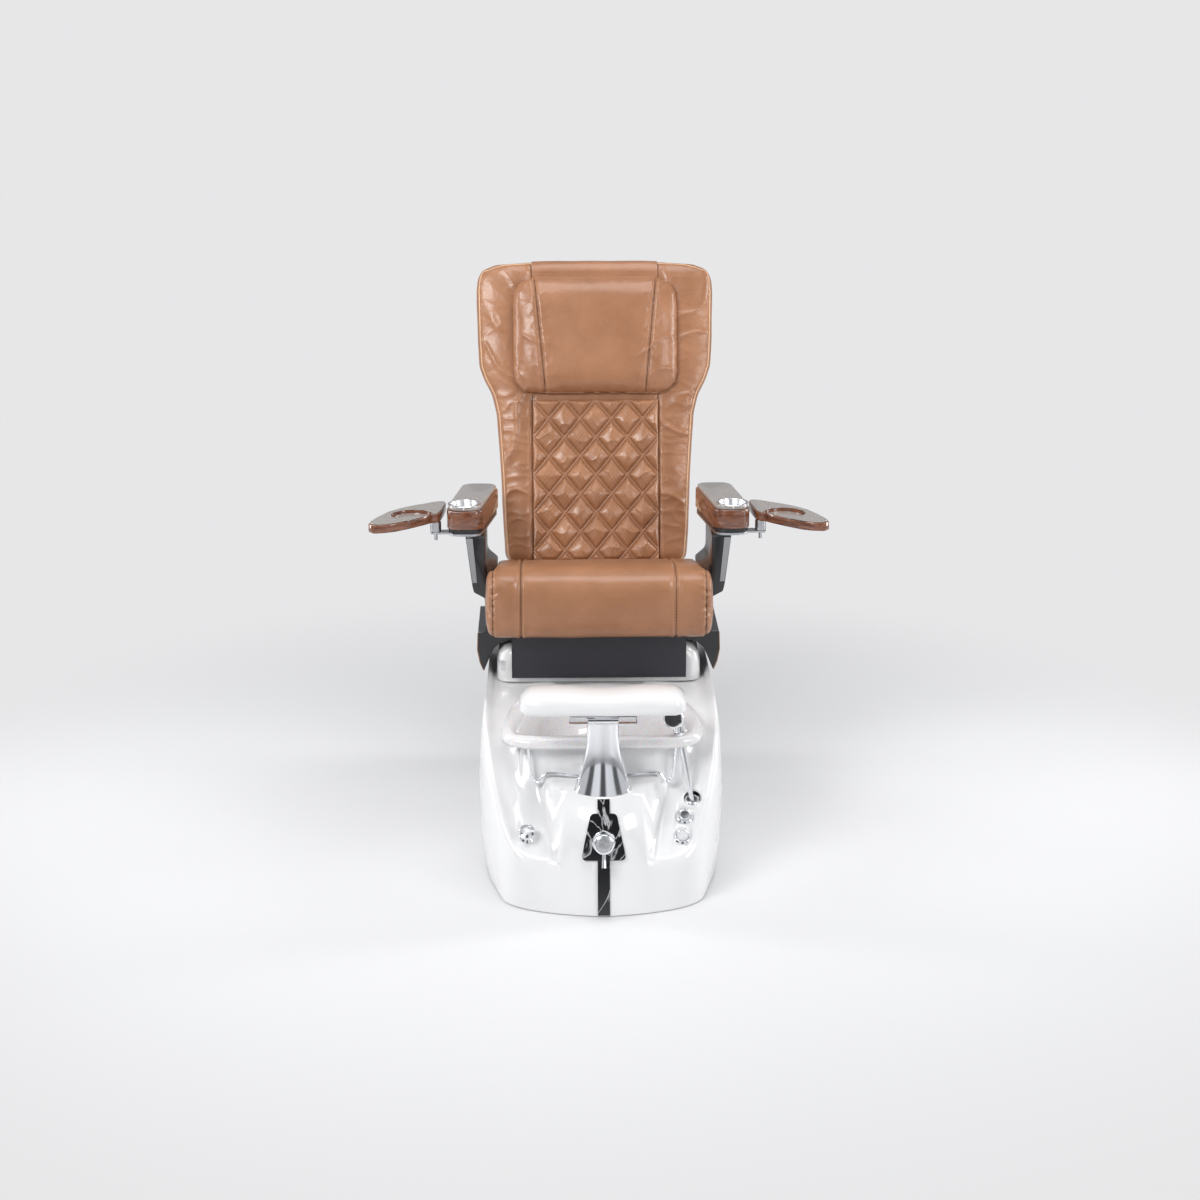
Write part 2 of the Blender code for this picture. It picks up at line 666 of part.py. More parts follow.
MIXER_NECK = 0.021          # radius of the turning collar
MIXER_CAP = 0.0265          # radius of the lifting cap
COLLAR_H = 0.010
COLLAR_FALL = 0.0048        # fall of the collar's top, which lets the cap tilt
CAP_H = 0.020
LEVER_L = 0.062             # from the mixer's axis to the lever's tip
LEVER_HALF = 0.0055

collar_lift = mixer_base + 0.006 + GAP
cap_lift = collar_lift + COLLAR_H + GAP
mixer_turn = bpy.data.objects.new("mixer_turn_axis", None)
CHAIR.objects.link(mixer_turn)
place(mixer_turn, on_console(0, MIXER_UP, collar_lift), mixer_axis)
mixer_collar = turned("mixer_collar", [(0, COLLAR_H), (0.002, COLLAR_H - 0.0005),
                                       (MIXER_NECK, COLLAR_H - COLLAR_FALL),
                                       (MIXER_NECK, 0), (0, 0)],
                      on_console(0, MIXER_UP, collar_lift), mixer_axis, chrome("mixer_collar"))
mixer_handle = turned("mixer_handle", [(0, CAP_H), (MIXER_CAP - 0.005, CAP_H),
                                       (MIXER_CAP - 0.001, CAP_H - 0.003),
                                       (MIXER_CAP, CAP_H - 0.008), (MIXER_CAP - 0.002, 0), (0, 0)],
                      on_console(0, MIXER_UP, cap_lift), mixer_axis, chrome("mixer_handle"))
lever = tube("mixer_lever", [on_console(0, MIXER_UP - MIXER_CAP + 0.008, cap_lift + CAP_H - 0.009),
                             on_console(0, MIXER_UP - LEVER_L * 0.7, cap_lift + CAP_H - 0.007),
                             on_console(0, MIXER_UP - LEVER_L, cap_lift + CAP_H - 0.002)], LEVER_HALF,
                             smooth=3)
bpy.context.view_layer.update()
boolean(mixer_handle, plain_mesh(lever), "UNION")

# ---------------------------------------------------------------- controls in the side valleys

valley_axis = Vector((0, -VALLEY_SLOPE, 1)).normalized()
PAD_PROUD = 0.0025          # moulded pads that the controls sit on, proud of the valley floor
PAD_DEPTH = 0.012
PAD_RIM = 0.003             # pad round each control's flange


def valley_point(x, y, lift=0.0, axis=valley_axis):
    return Vector((x, y, valley_z(y))) + axis * lift


def valley_pad(name, x, y, radius, hole, axis=valley_axis):
    """A moulded pad on the valley floor, its seat faced flat, with a hole through it."""
    top = valley_point(x, y, PAD_PROUD, axis)
    boolean(base_shell, rod(name + "_pad", radius + PAD_RIM, valley_point(x, y, -PAD_DEPTH, axis), top),
            "UNION")
    boolean(base_shell, rod(name + "_seat", radius + PAD_RIM / 2, top, valley_point(x, y, 0.040, axis)))
    boolean(base_shell, rod(name + "_hole", hole, valley_point(x, y, -0.05, axis),
                            valley_point(x, y, 0.05, axis)))


KNOB_X = 0.1155 - BASE_HALF
KNOB_Y = -0.535
KNOB_R = 0.0205
KNOB_H = 0.026
KNOB_BASE_R = 0.019
STEM_R = 0.007
valley_pad("diverter", KNOB_X, KNOB_Y, KNOB_BASE_R, STEM_R + 0.001)
diverter_base = turned("diverter_base", [(STEM_R - 0.002, 0.008), (KNOB_BASE_R - 0.006, 0.008),
                                         (KNOB_BASE_R, 0.003),
                                         (KNOB_BASE_R, 0), (STEM_R, 0), (STEM_R, -0.030),
                                         (STEM_R - 0.002, -0.030),
                                         (STEM_R - 0.002, 0.008)],
                       valley_point(KNOB_X, KNOB_Y, PAD_PROUD + GAP), valley_axis, chrome("diverter_base"))
diverter_knob = turned("diverter_knob", [(0, KNOB_H), (KNOB_R - 0.006, KNOB_H), (KNOB_R, KNOB_H - 0.003),
                                         (KNOB_R, KNOB_H - 0.012), (0.013, 0.004), (0.012, 0), (0.0045, 0),
                                         (0.0045, -0.034), (0, -0.034)],
                       valley_point(KNOB_X, KNOB_Y, PAD_PROUD + 0.008 + 2 * GAP), valley_axis,
                       chrome("diverter_knob"))

BUTTONS = (("jet", BASE_HALF - 0.098, -0.487), ("drain", BASE_HALF - 0.106, -0.536))
BEZEL_R = 0.0235
BEZEL_H = 0.006
BUTTON_R = 0.0155
BUTTON_CLEAR = 0.0005
BUTTON_PROUD = 0.003
for use, x, y in BUTTONS:
    valley_pad(use, x, y, BEZEL_R, BUTTON_R + 0.003)
    bore = BUTTON_R + BUTTON_CLEAR
    turned(use + "_bezel", [(bore, BEZEL_H - 0.001), (BEZEL_R - 0.005, BEZEL_H), (BEZEL_R, 0.002),
                            (BEZEL_R, 0),
                            (bore + 0.002, 0), (bore + 0.002, -0.022), (0.004, -0.022), (0.004, -0.020),
                            (bore, -0.020), (bore, BEZEL_H - 0.001)],
           valley_point(x, y, PAD_PROUD + GAP), valley_axis, chrome(use + "_bezel"))
    turned(use + "_button", [(0, BEZEL_H + BUTTON_PROUD), (BUTTON_R - 0.004, BEZEL_H + BUTTON_PROUD),
                             (BUTTON_R, BEZEL_H + BUTTON_PROUD - 0.002), (BUTTON_R, -0.008),
                             (0.003, -0.009),
                             (0.003, -0.024), (0, -0.024)],
           valley_point(x, y, PAD_PROUD + GAP), valley_axis, chrome(use + "_button"))

# ---------------------------------------------------------------- hand shower

HOSE_R = 0.0065
SPRAY_FOOT = Vector((BASE_HALF - 0.077, -0.448, 0.2372))    # where the hose comes out of the valley floor
SPRAY_TOP = Vector((BOWL_HALF - 0.0565, -0.433, 0.380))     # where it passes under the bowl's rim
SPRAY_TRAVEL = 0.180        # how far the shower pulls out
RING_R = 0.021
RING_H = 0.005
COLLAR_R = 0.0125           # sleeve in the rim that the handle rests in
COLLAR_WALL = 0.0015
HANDLE_R = 0.0095
HEAD_R = 0.028
HEAD_T = 0.016

spray_axis = (SPRAY_TOP - SPRAY_FOOT).normalized()


def along_spray(distance):
    return SPRAY_FOOT + spray_axis * distance


rim_reach = (ledge_z(SPRAY_TOP.y) + rim_height(SPRAY_TOP.y) - SPRAY_FOOT.z) / spray_axis.z
ring_axis = Vector((0, -0.36, 1)).normalized()
ring_bore = HOSE_R + 0.0065
valley_pad("spray", SPRAY_FOOT.x, SPRAY_FOOT.y, RING_R, ring_bore + 0.001, ring_axis)
boolean(base_shell, rod("hose_hole", HOSE_R + 0.003, along_spray(-0.06), along_spray(0.02)))
sprayer_ring = turned("sprayer_ring", [(ring_bore, RING_H - 0.001), (ring_bore + 0.001, RING_H),
                                       (RING_R - 0.003, RING_H), (RING_R, 0.001), (RING_R, 0),
                                       (ring_bore, 0), (ring_bore, RING_H - 0.001)],
                      valley_point(SPRAY_FOOT.x, SPRAY_FOOT.y, PAD_PROUD + GAP, ring_axis), ring_axis,
                      chrome("sprayer_ring"))
collar_bore = HANDLE_R + 0.0006
boolean(bowl, rod("collar_hole", COLLAR_R - COLLAR_WALL + GAP, along_spray(rim_reach - 0.040),
                  along_spray(rim_reach + 0.020)))
sprayer_collar = turned("sprayer_collar", [(collar_bore, 0.003), (COLLAR_R, 0.003),
                                           (COLLAR_R + 0.003, 0.001),
                                           (COLLAR_R + 0.003, 0.0004), (COLLAR_R - COLLAR_WALL, 0.0004),
                                           (COLLAR_R - COLLAR_WALL, -0.018), (collar_bore, -0.018),
                                           (collar_bore, 0.003)],
                        along_spray(rim_reach + 0.0036), spray_axis, chrome("sprayer_collar"))

hose_tail = 0.010 - SPRAY_TRAVEL
sprayer = turned("sprayer", [(0, 0.044), (0.008, 0.044), (0.0115, 0.030), (0.0125, 0.0078),
                             (HANDLE_R, 0.0065),
                             (HANDLE_R, -0.028), (HOSE_R, -0.034), (HOSE_R, hose_tail - rim_reach),
                             (0, hose_tail - rim_reach)],
                 along_spray(rim_reach), spray_axis, chrome("sprayer"), steps=16)
head_axis = Vector((-0.35, -0.88, 0.32)).normalized()
head_at = along_spray(rim_reach + 0.046) + Vector((-0.006, -0.004, 0))
spray_head = turned("spray_head", [(0, HEAD_T / 2), (HEAD_R - 0.005, HEAD_T / 2),
                                   (HEAD_R, HEAD_T / 2 - 0.004),
                                   (HEAD_R - 0.002, -0.002), (HEAD_R * 0.6, -HEAD_T / 2), (0, -HEAD_T / 2)],
                    head_at, head_axis, steps=24)
boolean(sprayer, spray_head, "UNION")

# ---------------------------------------------------------------- chrome rail of the bowl surround

RAIL_ROD = 0.0045
rail_half = [(BOWL_HALF - fall, y, z) for fall, y, z in (
    (0.072, -0.441, LEDGE_Z - 0.0008), (0.075, -0.441, 0.345), (0.078, -0.441, 0.312),
    (0.086, -0.441, 0.293),
    (0.096, -0.441, 0.290), (0.105, -0.441, 0.300), (0.116, -0.438, 0.3125), (0.137, -0.437, 0.3135),
    (0.172, -0.437, 0.3085), (0.212, -0.437, CONSOLE_TOP_Z + RAIL_ROD + GAP))]
rail_route = rail_half + [(-x, y, z) for x, y, z in reversed(rail_half)]
towel_rail = tube("towel_rail", rail_route, RAIL_ROD, chrome("towel_rail"), resolution=1, smooth=2)

# ---------------------------------------------------------------- pedestal and footrest

PED_Y = -0.5175             # middle of the pedestal's foot
PED_FOOT_HALF = 0.075
PED_FOOT_DEPTH = 0.0565
PED_TOP_HALF = 0.041
PED_TOP_DEPTH = 0.034
PED_TOP_Z = 0.487
PED_TOP_Y = -0.512


def pedestal_ring(share, steps=24):
    """A flared oval: the foot spreads like the bell of a trumpet."""
    flare = (1 - share) ** 2.2
    half = PED_TOP_HALF + (PED_FOOT_HALF - PED_TOP_HALF) * flare + 0.002 * max(0, share - 0.8)
    depth = PED_TOP_DEPTH + (PED_FOOT_DEPTH - PED_TOP_DEPTH) * flare
    foot_z = CONSOLE_TOP_Z + GAP
    middle = Vector((0, PED_Y + (PED_TOP_Y - PED_Y) * share, foot_z + (PED_TOP_Z - foot_z) * share))
    turns = [2 * math.pi * i / steps for i in range(steps)]
    return [middle + Vector((half * math.cos(t), depth * math.sin(t), 0)) for t in turns]


pedestal = loft("pedestal", [pedestal_ring(share) for share in (0, 0.03, 0.10, 0.20, 0.32, 0.46, 0.62, 0.80,
                                                                1)],
                chrome("pedestal"))

PLATE_HALF = 0.086          # half width of the hinge leaves
PLATE_T = 0.004
LEAF_FRONT_Y = -0.556
LEAF_REAR_Y = -0.470
HINGE_Y = -0.553            # footrest hinge, along X
KNUCKLE_R = 0.0075
KNUCKLE_HALF = 0.022        # half width of the middle knuckle
HINGE_PIN_R = 0.003
SLOT_L = 0.034
SLOT_W = 0.006
leaf_depth = LEAF_REAR_Y - LEAF_FRONT_Y
leaf_y = (LEAF_REAR_Y + LEAF_FRONT_Y) / 2
lower_z = PED_TOP_Z + GAP + PLATE_T / 2
hinge_z = lower_z + PLATE_T / 2 + KNUCKLE_R - 0.001
upper_z = hinge_z + KNUCKLE_R - 0.001 + PLATE_T / 2

footrest_bracket = block("footrest_bracket", (2 * PLATE_HALF, leaf_depth, PLATE_T), (0, leaf_y, lower_z),
                         steel("footrest_bracket"), 0.001, 1)
for side, sign in SIDES:
    slot_x = sign * (PLATE_HALF + KNUCKLE_HALF) / 2
    boolean(footrest_bracket, block("leaf_slot_" + side, (SLOT_L, SLOT_W, 0.03), (slot_x, leaf_y, lower_z)))
barrel_half = KNUCKLE_HALF + 0.016
boolean(footrest_bracket, rod("bracket_barrel", KNUCKLE_R, (-barrel_half, HINGE_Y, hinge_z),
                              (barrel_half, HINGE_Y, hinge_z),
                              sides=20), "UNION")
boolean(footrest_bracket, rod("barrel_gap", KNUCKLE_R + 0.0008, (-KNUCKLE_HALF - GAP, HINGE_Y, hinge_z),
                              (KNUCKLE_HALF + GAP, HINGE_Y, hinge_z), sides=20))
boolean(footrest_bracket, rod("hinge_pin", HINGE_PIN_R, (-barrel_half + 0.004, HINGE_Y, hinge_z),
                              (barrel_half - 0.004, HINGE_Y, hinge_z), sides=16), "UNION")

footrest_leaf = block("footrest_leaf", (2 * PLATE_HALF, LEAF_REAR_Y - HINGE_Y + 0.002, PLATE_T),
                      (0, (LEAF_REAR_Y + HINGE_Y - 0.002) / 2, upper_z), steel("footrest_leaf"), 0.001, 1)
boolean(footrest_leaf, rod("leaf_knuckle", KNUCKLE_R, (-KNUCKLE_HALF + GAP, HINGE_Y, hinge_z),
                           (KNUCKLE_HALF - GAP, HINGE_Y, hinge_z), sides=20), "UNION")
boolean(footrest_leaf, rod("pin_hole", HINGE_PIN_R + GAP, (-0.1, HINGE_Y, hinge_z), (0.1, HINGE_Y, hinge_z),
                           sides=16))
boolean(footrest_leaf, block("leaf_relief_left", (0.1, 0.020, 0.02),
                             (-KNUCKLE_HALF - 0.05, HINGE_Y, hinge_z)))
boolean(footrest_leaf, block("leaf_relief_right", (0.1, 0.020, 0.02),
                             (KNUCKLE_HALF + 0.05, HINGE_Y, hinge_z)))

REST_HALF = 0.209           # half width of the footrest
REST_FRONT_Y = -0.572
REST_REAR_Y = -0.438
REST_H = 0.056
REST_DIP = 0.0065           # shallow dip between the two lobes for the feet
REST_END = 0.034            # how far the rounded ends reach in
rest_z = upper_z + PLATE_T / 2 + GAP
rest_mid_y = (REST_FRONT_Y + REST_REAR_Y) / 2
rest_depth = (REST_REAR_Y - REST_FRONT_Y) / 2


def rest_ring(x):
    """A rounded section of the footrest, square to X, smaller towards the ends and in the middle."""
    end = clamped((abs(x) - (REST_HALF - REST_END)) / REST_END)
    size = math.sqrt(1 - (0.93 * end) ** 2)
    lobe = 1 - math.cos(math.pi * clamped(1 - abs(x) / 0.120)) if abs(x) < 0.120 else 0
    top = REST_H - REST_DIP * lobe / 2
    depth = rest_depth * (0.30 + 0.70 * size)
    low = 0.010 * (1 - size)
    high = low + (top - low) * (0.42 + 0.58 * size)
    outline = rounded_outline([(-depth, low), (depth * 0.97, low), (depth, high), (-depth, high)],
                              0.42 * (high - low), 2)
    return [(x, rest_mid_y + y, rest_z + z) for y, z in outline]


rest_stations = [REST_HALF - REST_END * (1 - math.cos(a * DEG)) for a in (0, 15, 32, 52, 75)]
rest_stations += [0.155, 0.120, 0.080, 0.045, 0.020, 0]
rest_all = [-x for x in rest_stations] + list(reversed(rest_stations[:-1]))
footrest_pad = loft("footrest_pad", [rest_ring(x) for x in rest_all], gelcoat("footrest_pad"))

# ---------------------------------------------------------------- seat carriage

CARRIAGE_REAR_Y = 0.362
CARRIAGE_FRONT_Y = -0.020
CARRIAGE_Z = 0.5585         # top of the carriage, which the seat board lies on
CARRIAGE_T = 0.006
PIVOT_Y = 0.340             # recline hinge
PIVOT_Z = 0.612
PIVOT_R = 0.009
HINGE_LUG_X = HOUSING_HALF - 0.055
LUG_T = 0.006

groove_floor_z = rail_z - 0.001
carriage_mid_y = (CARRIAGE_FRONT_Y + CARRIAGE_REAR_Y) / 2
carriage_depth = CARRIAGE_REAR_Y - CARRIAGE_FRONT_Y
plate_z = CARRIAGE_Z - CARRIAGE_T / 2
seat_carriage = block("seat_carriage", (2 * HINGE_LUG_X + LUG_T + 0.010, 0.060, CARRIAGE_T),
                      (0, CARRIAGE_FRONT_Y + 0.030, plate_z), steel("seat_carriage"))
boolean(seat_carriage, block("carriage_rear", (2 * HINGE_LUG_X + LUG_T + 0.010, 0.080, CARRIAGE_T),
                             (0, CARRIAGE_REAR_Y - 0.040, plate_z)), "UNION")
for side, sign in SIDES:
    boolean(seat_carriage, block("carriage_side_" + side,
                                 (0.040, carriage_depth - 0.002, CARRIAGE_T - 0.0005),
                                 (sign * RAIL_X, carriage_mid_y, plate_z)), "UNION")
    runner_top = CARRIAGE_Z - 0.002
    runner_low = groove_floor_z + 2 * GAP
    boolean(seat_carriage, block("runner_" + side, (0.014, carriage_depth - 0.020, runner_top - runner_low),
                                 (sign * RAIL_X, carriage_mid_y, (runner_top + runner_low) / 2)), "UNION")
    lug_outline = rounded_outline([(PIVOT_Y - 0.024, CARRIAGE_Z - 0.003),
                                   (PIVOT_Y + 0.020, CARRIAGE_Z - 0.003),
                                   (PIVOT_Y + 0.016, PIVOT_Z + 0.016), (PIVOT_Y - 0.016, PIVOT_Z + 0.016)],
                                   0.014, 3)
    lug = plate("carriage_lug_" + side, lug_outline, LUG_T)
    lug.matrix_world = Matrix.Translation((sign * HINGE_LUG_X, 0, 0)) @ Matrix(
        ((0, 0, 1, 0), (1, 0, 0, 0), (0, 1, 0, 0), (0, 0, 0, 1)))
    boolean(seat_carriage, lug, "UNION")
boolean(seat_carriage, rod("pivot_shaft", PIVOT_R, (-HINGE_LUG_X - 0.012, PIVOT_Y, PIVOT_Z),
                           (HINGE_LUG_X + 0.012, PIVOT_Y, PIVOT_Z)), "UNION")

# ---------------------------------------------------------------- seat

SEAT_HALF = HOUSING_HALF - 0.002    # half width of the seat between the side panels
ROLL_HALF = SEAT_HALF + 0.027       # half width of the front roll
BOARD_T = 0.012
BOARD_FRONT_Y = -0.048
BOARD_REAR_Y = 0.262
SEAT_REAR_Y = 0.300
FLAP_HALF = SEAT_HALF - 0.041
FLAP_T = 0.003
FLAP_LOW_Z = 0.4425
PANEL_FRONT_Y = 0.0         # front edge of the side panels
board_z = CARRIAGE_Z + GAP
seat_board = block("seat_board", (2 * SEAT_HALF, BOARD_REAR_Y - BOARD_FRONT_Y, BOARD_T),
                   (0, (BOARD_REAR_Y + BOARD_FRONT_Y) / 2, board_z + BOARD_T / 2),
                   finish("seat_board_ply", (0.50, 0.36, 0.20), 0.6), 0.003, 1)
cushion_z = board_z + BOARD_T + GAP


def seat_section(half, front_y, shrink=0.0):
    """The seat's outline square to X: the big front roll and the top that falls to the rear."""
    roll = [(front_y + 0.085, cushion_z), (front_y + 0.050, cushion_z - 0.004), (front_y + 0.018, 0.585),
            (front_y + 0.002, 0.625), (front_y, 0.675), (front_y + 0.016, 0.722), (front_y + 0.050, 0.754),
            (front_y + 0.092, 0.764), (front_y + 0.145, 0.757)]
    seat = [(0.090, 0.734), (0.190, 0.710), (SEAT_REAR_Y - 0.020, 0.688), (SEAT_REAR_Y, 0.660),
            (SEAT_REAR_Y, 0.600), (SEAT_REAR_Y - 0.020, cushion_z)]
    middle = Vector((0.08, 0.66))
    return [(half, *(middle + (Vector(p) - middle) * (1 - shrink))) for p in roll + seat]


ROLL_FRONT_Y = -0.142
roll_rear_y = PANEL_FRONT_Y - 0.010
inner_stations = [(SEAT_HALF - 0.001, 0.030), (SEAT_HALF - 0.012, 0.004), (0.200, 0), (0.100, 0), (0, 0)]
seat_rings = [seat_section(-x, ROLL_FRONT_Y, s) for x, s in inner_stations]
seat_rings += [seat_section(x, ROLL_FRONT_Y, s) for x, s in reversed(inner_stations[:-1])]
seat_cushion = loft("seat_cushion", seat_rings, leather("seat_cushion"))


def roll_ring(x, shrink):
    """The round front roll alone, which is wider than the seat behind it."""
    middle = Vector(((ROLL_FRONT_Y + roll_rear_y) / 2, 0.664))
    half = Vector(((roll_rear_y - ROLL_FRONT_Y) / 2, 0.097)) * (1 - shrink)
    corners = [(-1, -1), (1, -1), (1, 1), (-1, 1)]
    outline = rounded_outline([(middle.x + a * half.x, middle.y + b * half.y) for a, b in corners], 0.058,
                              4)
    return [(x, y, z) for y, z in outline]


roll_stations = [(ROLL_HALF, 0.22), (ROLL_HALF - 0.008, 0.08), (ROLL_HALF - 0.026, 0.01),
                 (ROLL_HALF - 0.060, 0)]
roll = loft("seat_roll", [roll_ring(-x, s) for x, s in roll_stations]
            + [roll_ring(x, s) for x, s in reversed(roll_stations)])
boolean(seat_cushion, roll, "UNION")

flap_top_z = cushion_z - 0.0045
front_flap = block("front_flap", (2 * FLAP_HALF, FLAP_T, flap_top_z - FLAP_LOW_Z),
                   (0, BOARD_FRONT_Y - GAP - FLAP_T / 2, (flap_top_z + FLAP_LOW_Z) / 2),
                   finish("front_flap_vinyl", (0.012, 0.012, 0.016), 0.4), 0.001, 1)

# ---------------------------------------------------------------- side panels: arm posts and skirts

POST_REAR_Y = 0.2685
POST_TOP_Z = 0.829
POST_IN_X = SEAT_HALF + 0.0295      # inner face of the arm posts above the seat
POST_OUT_X = SEAT_HALF + 0.082      # outer edge of the arm posts at the top
SKIRT_TIP_Z = 0.450
ARM_PIVOT_Y = 0.262
ARM_PIVOT_Z = 0.8210
ARM_PIN_R = 0.0035
LUG_HALF = 0.0115
lug_mid_x = (POST_IN_X + POST_OUT_X) / 2


def side_profile(name, outline, front_y, rear_y, sign, material=None):
    """A moulding of one outline seen from the front, drawn for +X and mirrored by sign."""
    made = plate(name, [(sign * x, z) for x, z in outline], rear_y - front_y, material)
    made.matrix_world = Matrix.Translation((0, (front_y + rear_y) / 2, 0)) @ Matrix.Rotation(math.pi / 2, 4,
                                                                                             "X")
    return made


post_outline = [(SEAT_HALF + 2 * GAP, board_z), (ROLL_HALF + 0.004, board_z), (ROLL_HALF + 0.005, 0.655),
                (SEAT_HALF + 0.0615, 0.671), (SEAT_HALF + 0.0655, 0.690), (POST_OUT_X, POST_TOP_Z),
                (POST_IN_X, POST_TOP_Z),
                (POST_IN_X, 0.735), (POST_IN_X - 0.004, 0.722), (SEAT_HALF + 2 * GAP, 0.700)]
skirt_outline = [(SEAT_HALF + step, z) for step, z in (
    (-0.0400, board_z - GAP), (-0.0400, 0.5350), (-0.0100, 0.5290), (0.0100, 0.5110), (0.0220, 0.4840),
    (0.0355, SKIRT_TIP_Z), (0.0390, SKIRT_TIP_Z), (0.0475, 0.4730), (0.0540, 0.5080),
    (0.0520, board_z - GAP))]
for side, sign in SIDES:
    post = side_profile("arm_post_" + side, post_outline, PANEL_FRONT_Y, POST_REAR_Y, sign,
                        black_plastic("arm_post_" + side))
    soften(post, 0.004, 2)
    boolean(post, block("post_notch_" + side, (2 * LUG_HALF + 0.001, 0.060, 0.060),
                        (sign * lug_mid_x, ARM_PIVOT_Y - 0.0175 + 0.030, 0.805 + 0.030)))
    boolean(post, rod("post_bore_" + side, ARM_PIN_R + 2 * GAP, (sign * 0.25, ARM_PIVOT_Y, ARM_PIVOT_Z),
                      (sign * 0.40, ARM_PIVOT_Y, ARM_PIVOT_Z), sides=16))
    skirt = side_profile("side_skirt_" + side, skirt_outline, PANEL_FRONT_Y, POST_REAR_Y - 0.020, sign,
                         black_plastic("side_skirt_" + side))
    soften(skirt, 0.001, 1)

# ---------------------------------------------------------------- backrest

BACK_LEAN = 17 * DEG        # of the backrest's front plane from upright, at rest
BACK_FOOT_Y = 0.270         # where the front plane starts
BACK_FOOT_Z = 0.620
BACK_TOP = 0.921            # top of the backrest, along its front plane
BACK_LOW = 0.050            # bottom of the cushion, along the same plane
CUSHION_T = 0.072           # thickness of the back cushion
SHELL_T = 0.048             # depth of the rigid back shell
BACK_WALL = 0.004

BACK_HALF = 0.310           # mean half width of the backrest
BACK_MIDDLE = 0.480         # middle of its height, up its own plane
back_up = Vector((0, math.sin(BACK_LEAN), math.cos(BACK_LEAN)))
back_out = Vector((0, -math.cos(BACK_LEAN), math.sin(BACK_LEAN)))
back_pivot = bpy.data.objects.new("back_pivot", None)
CHAIR.objects.link(back_pivot)
back_pivot.location = (0, PIVOT_Y, PIVOT_Z)


def on_back(across, up, proud=0.0):
    """A point in the backrest's own frame: across, up its front plane, and proud of that plane."""
    return Vector((across, BACK_FOOT_Y, BACK_FOOT_Z)) + back_up * up + back_out * proud


def ride_back(obj):
    bpy.context.view_layer.update()
    world = obj.matrix_world.copy()
    obj.parent = back_pivot
    obj.matrix_parent_inverse = back_pivot.matrix_world.inverted()
    obj.matrix_world = world
    return obj


def back_outline():
    """The keyhole outline of the backrest, anticlockwise, as (across, up) pairs."""
    half = [(0.150, BACK_LOW)]
    half += [(SEAT_HALF + step, up) for step, up in (
        (-0.0400, BACK_LOW), (-0.0165, BACK_LOW + 0.022), (-0.0105, 0.170), (-0.0045, 0.320),
        (0.006, 0.480),
        (0.019, 0.535), (0.0410, 0.577), (0.055, 0.617), (0.0595, 0.700), (0.0620, 0.830), (0.0590, 0.868),
        (0.044, 0.895), (0.002, BACK_TOP - 0.010))]
    half.append((0.150, BACK_TOP - 0.002))
    return half + [(-x, up) for x, up in reversed(half)]


def back_ring(distance, proud):
    """One ring of the backrest. Past the first 10 mm the outline shrinks towards its middle, which
    keeps its corners round."""
    edge = min(distance, 0.010)
    across_share = 1 - (distance - edge) / BACK_HALF
    up_share = 1 - (distance - edge) / BACK_MIDDLE
    return [on_back(x * across_share, BACK_MIDDLE + (up - BACK_MIDDLE) * up_share, proud)
            for x, up in inset(back_outline(), edge)]


back_cushion = loft("back_cushion", [back_ring(0.030, -0.002), back_ring(0.010, -0.010),
                                     back_ring(0, -0.030),
                                     back_ring(0, -CUSHION_T + 0.014), back_ring(0.006, -CUSHION_T)],
                    leather("back_cushion"))
ride_back(back_cushion)

shell_front = -CUSHION_T - GAP
shell_steps = ((0.060, 1.0), (0.026, 0.88), (0.013, 0.50), (0.010, 0))
shell_rings = [back_ring(draw, shell_front - SHELL_T * share) for draw, share in shell_steps]
shell_rings += [back_ring(draw + BACK_WALL, shell_front - max(0, SHELL_T * share - BACK_WALL))
                for draw, share in reversed(shell_steps)]
back_shell = loft("back_shell", shell_rings, black_plastic("back_shell"))
ride_back(back_shell)

PANEL_HALF = SEAT_HALF - 0.1005         # half width of the quilted panel
PANEL_LOW = 0.063
PANEL_TOP = 0.518
PANEL_T = 0.010
PILLOW_HALF = SEAT_HALF - 0.044
PILLOW_LOW = 0.535
PILLOW_TOP = 0.864
PILLOW_T = 0.046
PILLOW_RADIUS = 0.060
STRAP_HALF = SEAT_HALF - 0.099


def back_slab(name, outline, thickness, lift, material):
    """A flat pad lying on the front of the back cushion."""
    made = plate(name, outline, thickness, material)
    turn = Matrix((Vector((1, 0, 0)), back_up, back_out)).transposed().to_4x4()
    made.matrix_world = Matrix.Translation(on_back(0, 0, lift + thickness / 2)) @ turn
    return ride_back(made)


front_lift = -0.002 + GAP
quilt_corners = [(-PANEL_HALF, PANEL_LOW + 0.020), (PANEL_HALF, PANEL_LOW + 0.020),
                 (PANEL_HALF, PANEL_TOP), (-PANEL_HALF, PANEL_TOP)]
quilted_panel = back_slab("quilted_panel", rounded_outline(quilt_corners, 0.012, 2), PANEL_T, front_lift,
                          leather("quilted_panel"))
soften(quilted_panel, 0.003, 1)


def pillow_ring(distance, proud):
    corners = [(-PILLOW_HALF + distance, PILLOW_LOW + distance),
               (PILLOW_HALF - distance, PILLOW_LOW + distance),
               (PILLOW_HALF - distance, PILLOW_TOP - distance),
               (-PILLOW_HALF + distance, PILLOW_TOP - distance)]
    return [on_back(x, up, proud) for x, up in rounded_outline(corners, PILLOW_RADIUS, 4)]


